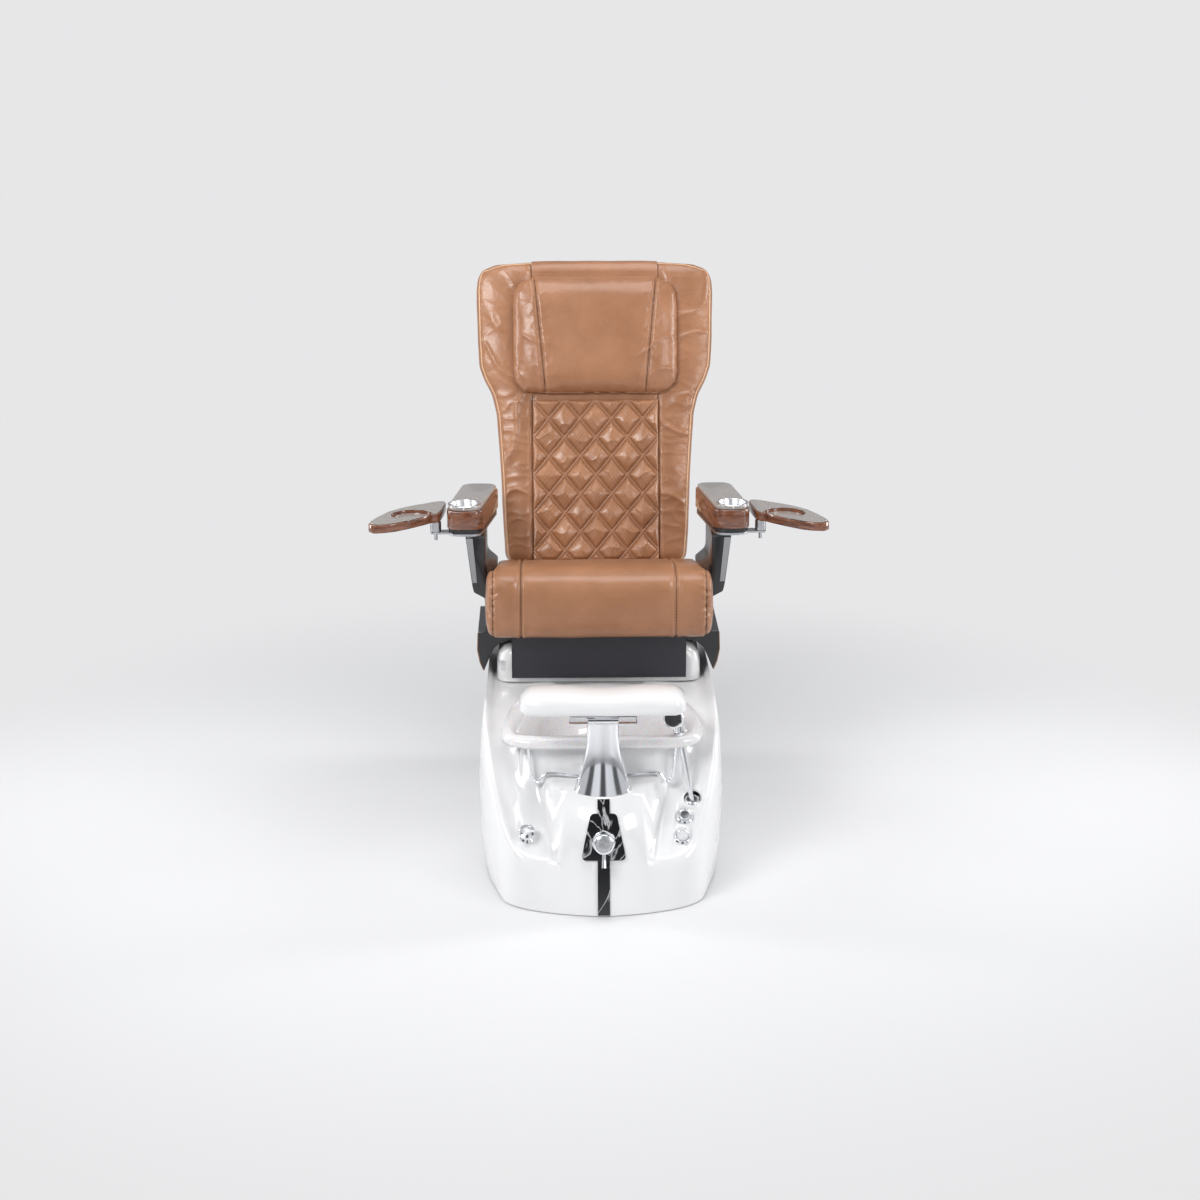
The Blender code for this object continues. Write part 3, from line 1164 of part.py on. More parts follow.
pillow = loft("pillow", [pillow_ring(0.004, front_lift), pillow_ring(0, front_lift + 0.010),
                         pillow_ring(0.010, front_lift + PILLOW_T * 0.66),
                         pillow_ring(0.045, front_lift + PILLOW_T)], leather("pillow"))
boolean(pillow, back_slab("pillow_strap", [(-STRAP_HALF, PILLOW_TOP - 0.040),
                                           (STRAP_HALF, PILLOW_TOP - 0.040),
                                           (STRAP_HALF - 0.002, BACK_TOP - 0.034),
                                           (-STRAP_HALF + 0.002, BACK_TOP - 0.034)],
                          0.005, front_lift, None), "UNION")
ride_back(pillow)

YOKE_T = 0.008              # side plates of the yoke
YOKE_TUBE = 0.007
YOKE_X = HINGE_LUG_X - LUG_T / 2 - YOKE_T / 2 - 0.001
YOKE_LOW = 0.080
YOKE_TOP = 0.500
yoke_depth = -CUSHION_T - GAP - YOKE_TUBE
yoke_low = on_back(0, YOKE_LOW, yoke_depth)
yoke_half = [(YOKE_X, YOKE_LOW), (YOKE_X, YOKE_TOP - 0.030), (YOKE_X - 0.009, YOKE_TOP - 0.009),
             (YOKE_X - 0.030, YOKE_TOP)]
yoke_route = [on_back(-x, up, yoke_depth) for x, up in yoke_half]
yoke_route += [on_back(x, up, yoke_depth) for x, up in reversed(yoke_half)]
back_frame = tube("back_frame", yoke_route, YOKE_TUBE, steel("back_frame"))
bpy.context.view_layer.update()
back_frame = plain_mesh(back_frame)
for side, sign in SIDES:
    arm_outline = rounded_outline([(PIVOT_Y - 0.014, PIVOT_Z - 0.015), (PIVOT_Y + 0.034, PIVOT_Z - 0.015),
                                   (yoke_low.y + 0.020, yoke_low.z + 0.030),
                                   (yoke_low.y + 0.004, yoke_low.z + 0.030),
                                   (PIVOT_Y + 0.018, PIVOT_Z + 0.015), (PIVOT_Y - 0.014, PIVOT_Z + 0.015)],
                                   0.008, 3)
    arm = plate("yoke_plate_" + side, arm_outline, YOKE_T)
    arm.matrix_world = Matrix.Translation((sign * YOKE_X, 0, 0)) @ Matrix(
        ((0, 0, 1, 0), (1, 0, 0, 0), (0, 1, 0, 0), (0, 0, 0, 1)))
    boolean(back_frame, arm, "UNION")
for side, sign in SIDES:
    boolean(back_shell, block("yoke_slot_" + side, (YOKE_T + 0.010, 0.060, 0.080),
                              (sign * YOKE_X, yoke_low.y, yoke_low.z - 0.020)), solver="MANIFOLD")
boolean(back_frame, rod("yoke_bore", PIVOT_R + GAP, (-0.3, PIVOT_Y, PIVOT_Z), (0.3, PIVOT_Y, PIVOT_Z)))
ride_back(back_frame)

# ---------------------------------------------------------------- armrests

ARM_PLATE_Z = POST_TOP_Z + 0.001
ARM_PLATE_T = 0.006
ARM_BASE_T = 0.012
ARM_WOOD_T = 0.052
ARM_TOP_T = 0.010
ARM_FRONT_Y = -0.006
ARM_REAR_Y = 0.275
ARM_FRONT_IN_X = SEAT_HALF + 0.036      # inner side of the arm at its front
ARM_FRONT_OUT_X = SEAT_HALF + 0.137
ARM_REAR_IN_X = SEAT_HALF - 0.008
ARM_REAR_OUT_X = SEAT_HALF + 0.100
ARM_RADIUS = 0.034
CUP_X = SEAT_HALF + 0.0855          # cup holder
CUP_Y = 0.038
CUP_FLANGE_R = 0.044
CUP_R = 0.0375
CUP_DEPTH = 0.050
CUP_WALL = 0.0015
TRAY_PIVOT_X = SEAT_HALF + 0.163
TRAY_PIVOT_Y = 0.035
TRAY_BOSS_R = 0.015
TRAY_PIN_R = 0.0045
TRAY_LOW_Z = 0.8650
TRAY_T = 0.0235
TRAY_TOP_T = 0.002
RECESS_X = SEAT_HALF + 0.224        # round recess of the tray
RECESS_Y = 0.006
RECESS_R = 0.057
RECESS_DEPTH = 0.009


def arm_outline_in(distance):
    corners = [(ARM_FRONT_IN_X + distance, ARM_FRONT_Y + distance),
               (ARM_FRONT_OUT_X - distance, ARM_FRONT_Y + distance),
               (ARM_REAR_OUT_X - distance, ARM_REAR_Y - distance),
               (ARM_REAR_IN_X + distance, ARM_REAR_Y - distance)]
    return rounded_outline(corners, ARM_RADIUS - distance * 0.5, 3)


def level_plate(name, outline, thickness, low_z, sign, material=None):
    """A level plate of one outline seen from above, drawn for +X and mirrored by sign."""
    made = plate(name, [(sign * x, y) for x, y in outline], thickness, material)
    made.matrix_world = Matrix.Translation((0, 0, low_z + thickness / 2))
    return made


base_low_z = ARM_PLATE_Z + ARM_PLATE_T + GAP
wood_low_z = base_low_z + ARM_BASE_T + GAP
top_low_z = wood_low_z + ARM_WOOD_T + GAP
arm_top_z = top_low_z + ARM_TOP_T
tray_outline = [(TRAY_PIVOT_X + step, y) for step, y in (
    (0.168, -0.087), (0.171, -0.062), (0.131, 0.041), (0.075, 0.101), (0.027, 0.133), (0.001, 0.151),
    (-0.023, 0.150), (-0.022, 0.100), (-0.018, 0.060), (-0.011, 0.022), (0.007, 0.012), (0.028, -0.013),
    (0.100, -0.079), (0.149, -0.096))]
plate_outline = [(x, min(y, ARM_PIVOT_Y)) for x, y in arm_outline_in(0.004)]


def tray_inset(distance):
    middle = Vector((TRAY_PIVOT_X + 0.064, 0.025))
    points = [Vector(p) for p in tray_outline]
    return [tuple(p + (middle - p).normalized() * distance) for p in points]


for side, sign in SIDES:
    pivot = bpy.data.objects.new("arm_pivot_" + side, None)
    CHAIR.objects.link(pivot)
    pivot.location = (sign * lug_mid_x, ARM_PIVOT_Y, ARM_PIVOT_Z)
    hinge_x = sign * lug_mid_x

    arm_plate = level_plate("arm_plate_" + side, plate_outline, ARM_PLATE_T, ARM_PLATE_Z, sign,
                            steel("arm_plate_" + side))
    strut = level_plate("arm_strut_" + side, rounded_outline(
        [(0.340, TRAY_PIVOT_Y - 0.012), (TRAY_PIVOT_X + 0.014, TRAY_PIVOT_Y - 0.014),
         (TRAY_PIVOT_X + 0.014, TRAY_PIVOT_Y + 0.014), (0.340, TRAY_PIVOT_Y + 0.030)], 0.008, 3),
                        ARM_PLATE_T - 0.001, ARM_PLATE_Z + 0.0005, sign)
    boolean(arm_plate, strut, "UNION")
    boolean(arm_plate, rod("tray_pin_" + side, TRAY_PIN_R,
                           (sign * TRAY_PIVOT_X, TRAY_PIVOT_Y, ARM_PLATE_Z - 0.018),
                           (sign * TRAY_PIVOT_X, TRAY_PIVOT_Y, TRAY_LOW_Z + 0.012), sides=16), "UNION")
    boolean(arm_plate, block("arm_lug_" + side, (2 * LUG_HALF, 0.022, 0.018),
                             (hinge_x, ARM_PIVOT_Y - 0.001, ARM_PLATE_Z - 0.008)), "UNION")
    boolean(arm_plate, rod("arm_pin_" + side, ARM_PIN_R, (hinge_x - 0.025, ARM_PIVOT_Y, ARM_PIVOT_Z),
                           (hinge_x + 0.025, ARM_PIVOT_Y, ARM_PIVOT_Z), sides=16), "UNION")

    level_plate("arm_base_" + side, arm_outline_in(0.004), ARM_BASE_T, base_low_z, sign,
                black_plastic("arm_base_" + side))
    arm_wood = level_plate("arm_wood_" + side, arm_outline_in(0), ARM_WOOD_T, wood_low_z, sign,
                           wood("arm_wood_" + side))
    soften(arm_wood, 0.008, 2)
    arm_top = level_plate("arm_top_" + side, arm_outline_in(0.005), ARM_TOP_T, top_low_z, sign,
                          taupe("arm_top_" + side))
    soften(arm_top, 0.006, 2)
    cup_low = arm_top_z - CUP_DEPTH
    for target, tag in ((arm_wood, "wood"), (arm_top, "top")):
        boolean(target, rod(f"cup_hole_{tag}_{side}", CUP_R + CUP_WALL + GAP,
                            (sign * CUP_X, CUP_Y, cup_low - CUP_WALL - GAP),
                            (sign * CUP_X, CUP_Y, arm_top_z + 0.02), sides=20))
    turned("cup_holder_" + side, [(CUP_R - 0.001, 0.003), (CUP_FLANGE_R - 0.002, 0.003),
                                  (CUP_FLANGE_R, 0.0015),
                                  (CUP_FLANGE_R, GAP), (CUP_R + CUP_WALL, GAP),
                                  (CUP_R - 0.004 + CUP_WALL, -CUP_DEPTH),
                                  (0, -CUP_DEPTH), (0, -CUP_DEPTH + CUP_WALL),
                                  (CUP_R - 0.006, -CUP_DEPTH + CUP_WALL),
                                  (CUP_R - 0.001, 0.003)],
           (sign * CUP_X, CUP_Y, arm_top_z), material=chrome("cup_holder_" + side))

    turned("tray_boss_" + side, [(TRAY_PIN_R + GAP, TRAY_LOW_Z - 2 * GAP - base_low_z),
                                 (TRAY_BOSS_R - 0.001, TRAY_LOW_Z - 2 * GAP - base_low_z),
                                 (TRAY_BOSS_R, TRAY_LOW_Z - 0.002 - base_low_z), (TRAY_BOSS_R, 0),
                                 (TRAY_PIN_R + GAP, 0),
                                 (TRAY_PIN_R + GAP, TRAY_LOW_Z - 2 * GAP - base_low_z)],
           (sign * TRAY_PIVOT_X, TRAY_PIVOT_Y, base_low_z), material=black_plastic("tray_boss_" + side),
           steps=20)
    tray_body = level_plate("tray_body_" + side, closed_outline(tray_outline, 2), TRAY_T, TRAY_LOW_Z, sign,
                            wood("tray_body_" + side))
    soften(tray_body, 0.004, 2)
    boolean(tray_body, rod("tray_bore_" + side, TRAY_PIN_R + GAP,
                           (sign * TRAY_PIVOT_X, TRAY_PIVOT_Y, TRAY_LOW_Z - 0.01),
                           (sign * TRAY_PIVOT_X, TRAY_PIVOT_Y, TRAY_LOW_Z + 0.0125), sides=16))
    boolean(tray_body, rod("tray_recess_" + side, RECESS_R,
                           (sign * RECESS_X, RECESS_Y, TRAY_LOW_Z + TRAY_T - RECESS_DEPTH),
                           (sign * RECESS_X, RECESS_Y, 1.0), sides=24))
    tray_top = level_plate("tray_top_" + side, closed_outline(tray_inset(0.0045), 2), TRAY_TOP_T,
                           TRAY_LOW_Z + TRAY_T + GAP, sign, taupe("tray_top_" + side))
    boolean(tray_top, rod("tray_opening_" + side, RECESS_R, (sign * RECESS_X, RECESS_Y, 0.8),
                          (sign * RECESS_X, RECESS_Y, 1.0), sides=24))

# ---------------------------------------------------------------- drain and whirlpool jet of the bowl

DRAIN_Y = -0.265
DRAIN_R = 0.036             # flange of the drain
DRAIN_BORE = 0.021
DRAIN_DEPTH = 0.060
STOPPER_R = 0.020
STEM_R = 0.004

drain_at = Vector((0, DRAIN_Y, BOWL_FLOOR_Z + GAP))
boolean(bowl, rod("drain_hole", DRAIN_BORE + 0.004, drain_at - Vector((0, 0, 0.05)),
                  drain_at + Vector((0, 0, 0.05))))
drain_body = turned(
    "drain_body",
    [(DRAIN_BORE, 0.003), (DRAIN_R - 0.004, 0.003), (DRAIN_R, 0.001), (DRAIN_R, 0), (DRAIN_BORE + 0.003, 0),
     (DRAIN_BORE + 0.003, -DRAIN_DEPTH + 0.010), (DRAIN_BORE - 0.002, -DRAIN_DEPTH),
     (STEM_R + 0.0005, -DRAIN_DEPTH),
     (STEM_R + 0.0005, -DRAIN_DEPTH + 0.004), (DRAIN_BORE, -DRAIN_DEPTH + 0.012), (DRAIN_BORE, 0.003)],
    drain_at, material=chrome("drain_body"))
drain_stopper = turned(
    "drain_stopper",
    [(0, 0.005), (STOPPER_R - 0.004, 0.004), (STOPPER_R, 0.001), (STOPPER_R, -0.002), (STEM_R, -0.003),
     (STEM_R, -DRAIN_DEPTH - 0.006), (0, -DRAIN_DEPTH - 0.006)],
    drain_at, material=chrome("drain_stopper"))

JET_R = 0.060               # cover of the whirlpool jet, on the rear wall of the bowl
JET_Z = 0.247
JET_Y = -0.1315
JET_PAD_R = JET_R + 0.004
JET_PAD_PROUD = 0.007       # moulded flat of the bowl that the cover seats on
JET_NECK_R = 0.022
JET_MOTOR_R = 0.048
JET_MOTOR_L = 0.080
jet_axis = Vector((0, -math.cos(math.radians(9)), math.sin(math.radians(9))))
jet_at = Vector((0, JET_Y, JET_Z)) + jet_axis * JET_PAD_PROUD
jet_back = -JET_PAD_PROUD - BOWL_WALL - 0.002
boolean(bowl, rod("jet_pad", JET_PAD_R, jet_at - jet_axis * (JET_PAD_PROUD + 0.0025), jet_at), "UNION")
boolean(bowl, rod("jet_hole", JET_NECK_R + 0.001, jet_at - jet_axis * 0.04, jet_at + jet_axis * 0.02))
jet_cover = turned(
    "jet_cover",
    [(0, 0.013), (JET_R * 0.45, 0.0125), (JET_R * 0.80, 0.010), (JET_R - 0.002, 0.005), (JET_R, 0.002),
     (JET_R, GAP), (0.012, GAP), (0, GAP)],
    jet_at, jet_axis, material=finish("bronze_cover", (0.30, 0.16, 0.09), 0.3, 1.0))
jet_motor = turned(
    "jet_motor",
    [(0, -0.001), (JET_NECK_R, -0.001), (JET_NECK_R, jet_back - 0.004),
     (JET_MOTOR_R - 0.004, jet_back - 0.006),
     (JET_MOTOR_R, jet_back - 0.010), (JET_MOTOR_R, jet_back - JET_MOTOR_L),
     (JET_MOTOR_R * 0.7, jet_back - JET_MOTOR_L - 0.006),
     (0, jet_back - JET_MOTOR_L - 0.006)],
    jet_at, jet_axis, material=black_plastic("jet_motor"))

# ---------------------------------------------------------------- pump and control box on the chassis

TRAY_T = 0.003              # sheet under the pump and the control box
PUMP_R = 0.036
PUMP_L = 0.120
PUMP_Y = 0.190
BOX_SIZE = (0.150, 0.110, 0.070)

tray_depth = POST_Y[1] - POST_Y[0]
tray_z = FRAME_Z + TUBE / 2 - TRAY_T
boolean(base_frame, block("pump_tray", (2 * FRAME_HALF - TUBE + 0.004, tray_depth, TRAY_T),
                          (0, POST_Y[0] + tray_depth / 2, tray_z)), "UNION")
sheet_z = tray_z + TRAY_T / 2 + GAP
pump_z = sheet_z + PUMP_R + 0.004
drain_pump = rod("drain_pump", PUMP_R, (0.100 - PUMP_L / 2, PUMP_Y, pump_z),
                 (0.100 + PUMP_L / 2, PUMP_Y, pump_z),
                 black_plastic("drain_pump"))
boolean(drain_pump, block("pump_cradle", (0.090, 0.050, 0.030), (0.100, PUMP_Y, sheet_z + 0.015)), "UNION")
boolean(drain_pump, rod("pump_outlet", 0.011, (0.065, PUMP_Y, pump_z),
                        (0.065, PUMP_Y, pump_z + PUMP_R + 0.030)),
        "UNION")
control_box = block("control_box", BOX_SIZE, (-0.110, PUMP_Y, sheet_z + BOX_SIZE[2] / 2),
                    black_plastic("control_box"), 0.006, 2)
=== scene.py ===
import json
import math

import bmesh
import bpy
import numpy as np
from mathutils import Matrix, Vector, noise
from mathutils.bvhtree import BVHTree

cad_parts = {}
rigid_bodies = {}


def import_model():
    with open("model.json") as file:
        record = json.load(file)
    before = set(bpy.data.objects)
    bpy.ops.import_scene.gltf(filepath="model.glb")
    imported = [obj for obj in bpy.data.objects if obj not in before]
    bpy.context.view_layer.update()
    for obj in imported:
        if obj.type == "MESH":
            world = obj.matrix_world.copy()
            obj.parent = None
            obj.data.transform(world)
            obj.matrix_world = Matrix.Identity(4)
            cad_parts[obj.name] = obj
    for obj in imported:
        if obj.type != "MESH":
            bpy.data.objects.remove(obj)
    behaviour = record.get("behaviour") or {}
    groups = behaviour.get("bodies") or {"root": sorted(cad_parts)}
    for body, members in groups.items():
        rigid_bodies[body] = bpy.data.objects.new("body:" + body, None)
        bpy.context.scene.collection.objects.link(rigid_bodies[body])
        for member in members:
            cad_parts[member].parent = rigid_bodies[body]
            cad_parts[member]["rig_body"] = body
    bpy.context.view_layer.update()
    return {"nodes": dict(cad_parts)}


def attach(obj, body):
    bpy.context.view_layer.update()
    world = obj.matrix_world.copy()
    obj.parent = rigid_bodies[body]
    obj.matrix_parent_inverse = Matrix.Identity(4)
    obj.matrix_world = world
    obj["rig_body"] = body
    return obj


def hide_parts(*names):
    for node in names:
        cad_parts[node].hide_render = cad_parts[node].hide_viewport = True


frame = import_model()

# ---------------------------------------------------------------- room
# A pale studio floor that sweeps up into a backdrop, two soft lamps in front, one above and a strip lamp
# on each side. The air holds upright dark and pale cards, which draw streaks in the chrome.

scene = bpy.context.scene
scene.view_settings.view_transform = "Standard"


def shader_of(name, colour, roughness, metallic=0.0, coat=0.0, coat_roughness=0.05):
    """A new material, its node tree's add function, its link function and its Principled shader."""
    made = bpy.data.materials.new(name)
    made.use_nodes = True
    tree = made.node_tree
    shader = tree.nodes["Principled BSDF"]
    shader.inputs["Base Color"].default_value = (*colour, 1)
    shader.inputs["Roughness"].default_value = roughness
    shader.inputs["Metallic"].default_value = metallic
    shader.inputs["Coat Weight"].default_value = coat
    shader.inputs["Coat Roughness"].default_value = coat_roughness
    return made, tree.nodes.new, tree.links.new, shader


def put(add, kind, values, **settings):
    """A node of this kind, with its settings and the values of its inputs."""
    made = add(kind)
    for name, value in settings.items():
        setattr(made, name, value)
    for name, value in values.items():
        made.inputs[name].default_value = value
    return made


def wire(link, *wires):
    """Links, each given as a node, its output, the next node and that one's input."""
    for giver, output, taker, given in wires:
        link(giver.outputs[output], taker.inputs[given])


def ramp(node, *stops):
    """The first and last stop of a colour ramp, each a place and a colour."""
    for stop, (place, colour) in zip(node.color_ramp.elements, stops):
        stop.position, stop.color = place, colour


def sweep_of_floor():
    rows = [(-9.0, 0.0), (5.0, 0.0), (6.0, 0.08), (6.8, 0.5), (7.3, 1.4), (7.5, 3.0), (7.5, 7.0)]
    sheet = bpy.data.meshes.new("studio_floor")
    points = [(x, y, z - 0.0005) for y, z in rows for x in (-11.0, 11.0)]
    faces = [(2 * n, 2 * n + 1, 2 * n + 3, 2 * n + 2) for n in range(len(rows) - 1)]
    sheet.from_pydata(points, [], faces)
    sheet.shade_smooth()
    made = bpy.data.objects.new("studio_floor", sheet)
    scene.collection.objects.link(made)
    return made


studio_floor = sweep_of_floor()
floor_paint, add, link, shader = shader_of("studio_floor_paint", (0.76, 0.76, 0.77), 0.55)
grain = put(add, "ShaderNodeTexNoise", {"Scale": 3.0})
tint = add("ShaderNodeValToRGB")
ramp(tint, (0.0, (0.75, 0.75, 0.76, 1)), (1.0, (0.78, 0.78, 0.785, 1)))
wire(link, (grain, "Fac", tint, "Fac"), (tint, "Color", shader, "Base Color"))
glow = put(add, "ShaderNodeEmission", {"Color": (0.80, 0.80, 0.81, 1)})
place = add("ShaderNodeTexCoord")
reach = put(add, "ShaderNodeVectorMath", {}, operation="LENGTH")
distance = put(add, "ShaderNodeMapRange", {"From Min": 0.9,
                                           "From Max": 2.4}, interpolation_type="SMOOTHSTEP")
rays = add("ShaderNodeLightPath")
seen = put(add, "ShaderNodeMath", {}, operation="MULTIPLY")
either = add("ShaderNodeMixShader")
wire(link, (place, "Object", reach, 0), (reach, "Value", distance, "Value"),
     (distance, "Result", seen, 0), (rays, "Is Camera Ray", seen, 1), (seen, "Value", either, "Fac"),
     (shader, "BSDF", either, 1), (glow, "Emission", either, 2),
     (either, "Shader", floor_paint.node_tree.nodes["Material Output"], "Surface"))
studio_floor.data.materials.append(floor_paint)

world = bpy.data.worlds.new("studio_air")
scene.world = world
world.use_nodes = True
air = world.node_tree
add, link = air.nodes.new, air.links.new
toward = add("ShaderNodeTexCoord")
axes = add("ShaderNodeSeparateXYZ")
turn = put(add, "ShaderNodeMath", {}, operation="ARCTAN2")
share = put(add, "ShaderNodeMapRange", {"From Min": -math.pi, "From Max": math.pi})
cards = add("ShaderNodeValToRGB")
cards.color_ramp.interpolation = "EASE"
ramp(cards, (0.0, (0.30, 0.31, 0.33, 1)), (1.0, (0.30, 0.31, 0.33, 1)))
for position, level in ((0.31, 0.36), (0.345, 0.07), (0.38, 0.07), (0.41, 0.50), (0.46, 0.52),
                        (0.487, 0.06),
                        (0.513, 0.06), (0.54, 0.50), (0.60, 0.46), (0.63, 0.07), (0.66, 0.07), (0.70,
                                                                                                0.38)):
    step = cards.color_ramp.elements.new(position)
    step.color = (level * 0.98, level, level * 1.04, 1)
wire(link, (toward, "Generated", axes, "Vector"), (axes, "X", turn, 0))
flip = put(add, "ShaderNodeMath", {1: -1.0}, operation="MULTIPLY")
wire(link, (axes, "Y", flip, 0), (flip, "Value", turn, 1), (turn, "Value", share, "Value"),
     (share, "Result", cards, "Fac"), (cards, "Color", air.nodes["Background"], "Color"))
pale = put(add, "ShaderNodeBackground", {"Color": (0.80, 0.80, 0.81, 1)})
rays = add("ShaderNodeLightPath")
glare = add("ShaderNodeMath")            # mirrors see the cards brighter than dull faces do
glare.operation = "MULTIPLY_ADD"
glare.inputs[1].default_value = 0.55
glare.inputs[2].default_value = 1.0
wire(link, (rays, "Is Glossy Ray", glare, 0), (glare, "Value", air.nodes["Background"], "Strength"))
either = add("ShaderNodeMixShader")
wire(link, (rays, "Is Camera Ray", either, "Fac"), (air.nodes["Background"], "Background", either, 1),
     (pale, "Background", either, 2), (either, "Shader", air.nodes["World Output"], "Surface"))


def soft_lamp(name, place, aim, width, height, watts, colour=(1, 1, 1)):
    lamp = bpy.data.lights.new(name, "AREA")
    lamp.shape = "RECTANGLE"
    lamp.size = width
    lamp.size_y = height
    lamp.energy = watts
    lamp.color = colour
    made = bpy.data.objects.new(name, lamp)
    scene.collection.objects.link(made)
    made.location = place
    made.rotation_euler = (Vector(aim) - Vector(place)).to_track_quat("-Z", "Y").to_euler()
    return made


soft_lamp("key_lamp", (-2.3, -3.2, 3.3), (0, 0, 0.8), 1.7, 1.3, 100)
soft_lamp("fill_lamp", (3.2, -3.0, 2.0), (0, 0, 0.7), 1.4, 1.8, 44)
soft_lamp("top_lamp", (0.2, -0.4, 4.2), (0, 0, 0), 2.4, 2.4, 56)
soft_lamp("left_strip", (-2.4, 0.3, 1.5), (0, 0, 0.9), 0.4, 2.2, 26)
soft_lamp("right_strip", (2.4, 0.3, 1.5), (0, 0, 0.9), 0.4, 2.2, 30)

camera_lens = bpy.data.cameras.new("studio_camera")
camera_lens.sensor_width = 36
camera_lens.lens = 70.5
studio_camera = bpy.data.objects.new("studio_camera", camera_lens)
scene.collection.objects.link(studio_camera)
studio_camera.location = (-0.13, -6.13, 2.50)
studio_camera.rotation_euler = (math.radians(90 - 16.8), 0, math.radians(-1.25))
scene.camera = studio_camera

# ---------------------------------------------------------------- base shell, rear housing, rear cover
# One gelcoated fibreglass moulding with a console in front, a valley on each side of it and a deep
# surround for the bowl. The housing under the seat and the service cover at the rear are moulded of
# the same white gelcoat; the housing is bonded to the deck and the cover is clipped in.


def finished(node, sheet, material, angle=32, round_over=0.0, steps=2):
    """A sheet as the piece in place of a CAD node: flat faces kept, edges rounded, material set."""
    sheet.materials.append(material)
    sheet.shade_smooth()
    sheet.set_sharp_from_angle(angle=math.radians(angle))
    made = bpy.data.objects.new(node + "_finished", sheet)
    scene.collection.objects.link(made)
    if round_over:
        edge = made.modifiers.new("edge", "BEVEL")
        edge.width = round_over
        edge.segments = steps
        edge.limit_method = "ANGLE"
        edge.angle_limit = math.radians(angle)
        edge.harden_normals = True
    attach(made, frame["nodes"][node]["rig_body"])
    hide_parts(node)
    return made


def smooth_copy(node, material, angle=32, round_over=0.0, steps=2, flat=0.6):
    """A rigid piece in place of a CAD node: the same shape in clean faces, with rounded edges."""
    source = frame["nodes"][node]
    work = bmesh.new()
    work.from_mesh(source.data)
    bmesh.ops.remove_doubles(work, verts=work.verts, dist=0.00002)
    bmesh.ops.dissolve_limit(work, angle_limit=math.radians(flat), verts=work.verts, edges=work.edges)
    sheet = bpy.data.meshes.new(node + "_finished")
    work.to_mesh(sheet)
    work.free()
    return finished(node, sheet, material, angle, round_over, steps)


def worn(name, colour, roughness, texture, kind="ShaderNodeTexNoise", shade="Fac", shine=None, relief=None,
         tones=None, **look):
    """A material with one texture that drives its roughness, its relief and its tones."""
    made, add, link, shader = shader_of(name, colour, roughness, **look)
    place, grain = add("ShaderNodeTexCoord"), put(add, kind, texture)
    wire(link, (place, "Object", grain, "Vector"))
    if shine:
        spread = put(add, "ShaderNodeMapRange", {"To Min": shine[0], "To Max": shine[1]})
        wire(link, (grain, shade, spread, "Value"), (spread, "Result", shader, "Roughness"))
    if relief:
        bump = put(add, "ShaderNodeBump", {"Strength": relief[0], "Distance": relief[1]})
        wire(link, (grain, shade, bump, "Height"), (bump, "Normal", shader, "Normal"))
    if tones:
        tone = add("ShaderNodeValToRGB")
        ramp(tone, *tones)
        wire(link, (grain, shade, tone, "Fac"), (tone, "Color", shader, "Base Color"))
    return made


white_gelcoat = worn("white_gelcoat", (0.86, 0.86, 0.865), 0.16, {"Scale": 14.0, "Detail": 3.0}, coat=0.6,
                     shine=(0.12, 0.22), relief=(0.05, 0.004),
                     tones=((0.0, (0.845, 0.845, 0.855, 1)), (1.0, (0.875, 0.875, 0.875, 1))))

smooth_copy("base_shell", white_gelcoat, angle=40, flat=0.3)
smooth_copy("footrest_pad", white_gelcoat, angle=50, flat=0.3)
housing_piece = smooth_copy("rear_housing", white_gelcoat, angle=40)
smooth_copy("rear_access_cover", white_gelcoat, round_over=0.0015)

# ---------------------------------------------------------------- foot bowl
# The bowl is a separate casting in pearl-white gelcoat with fine sparkle, dropped into the surround
# on its rolled rim.

pearl_gelcoat, add, link, shader = shader_of("pearl_gelcoat", (0.84, 0.83, 0.83), 0.14, coat=0.8)
place = add("ShaderNodeTexCoord")
flake = put(add, "ShaderNodeTexVoronoi", {"Scale": 360.0})
sparkle = add("ShaderNodeValToRGB")
ramp(sparkle, (0.16, (0.96, 0.95, 0.94, 1)), (0.30, (0.80, 0.785, 0.79, 1)))
facet = put(add, "ShaderNodeBump", {"Strength": 0.12, "Distance": 0.0006})
fleck = put(add, "ShaderNodeTexVoronoi", {"Scale": 210.0})
hues = put(add, "ShaderNodeMix", {"Factor": 0.28}, data_type="RGBA", blend_type="SOFT_LIGHT")
wire(link, (place, "Object", flake, "Vector"), (place, "Object", fleck, "Vector"),
     (flake, "Distance", sparkle, "Fac"), (flake, "Distance", facet, "Height"),
     (sparkle, "Color", hues, "A"), (fleck, "Color", hues, "B"), (hues, "Result", shader, "Base Color"),
     (facet, "Normal", shader, "Normal"))
smooth_copy("bowl", pearl_gelcoat, angle=50, flat=0.3)

# ---------------------------------------------------------------- chrome and steel fittings
# Mixer, diverter, push buttons, hand shower, rail, pedestal and footrest hinge are chromed brass and
# steel; the seat's running gear is zinc-plated and powder-coated steel.

chrome_plate = worn("chrome_plate", (0.86, 0.87, 0.89), 0.05, {"Scale": 30.0, "Detail": 4.0}, metallic=1.0,
                    shine=(0.03, 0.10))


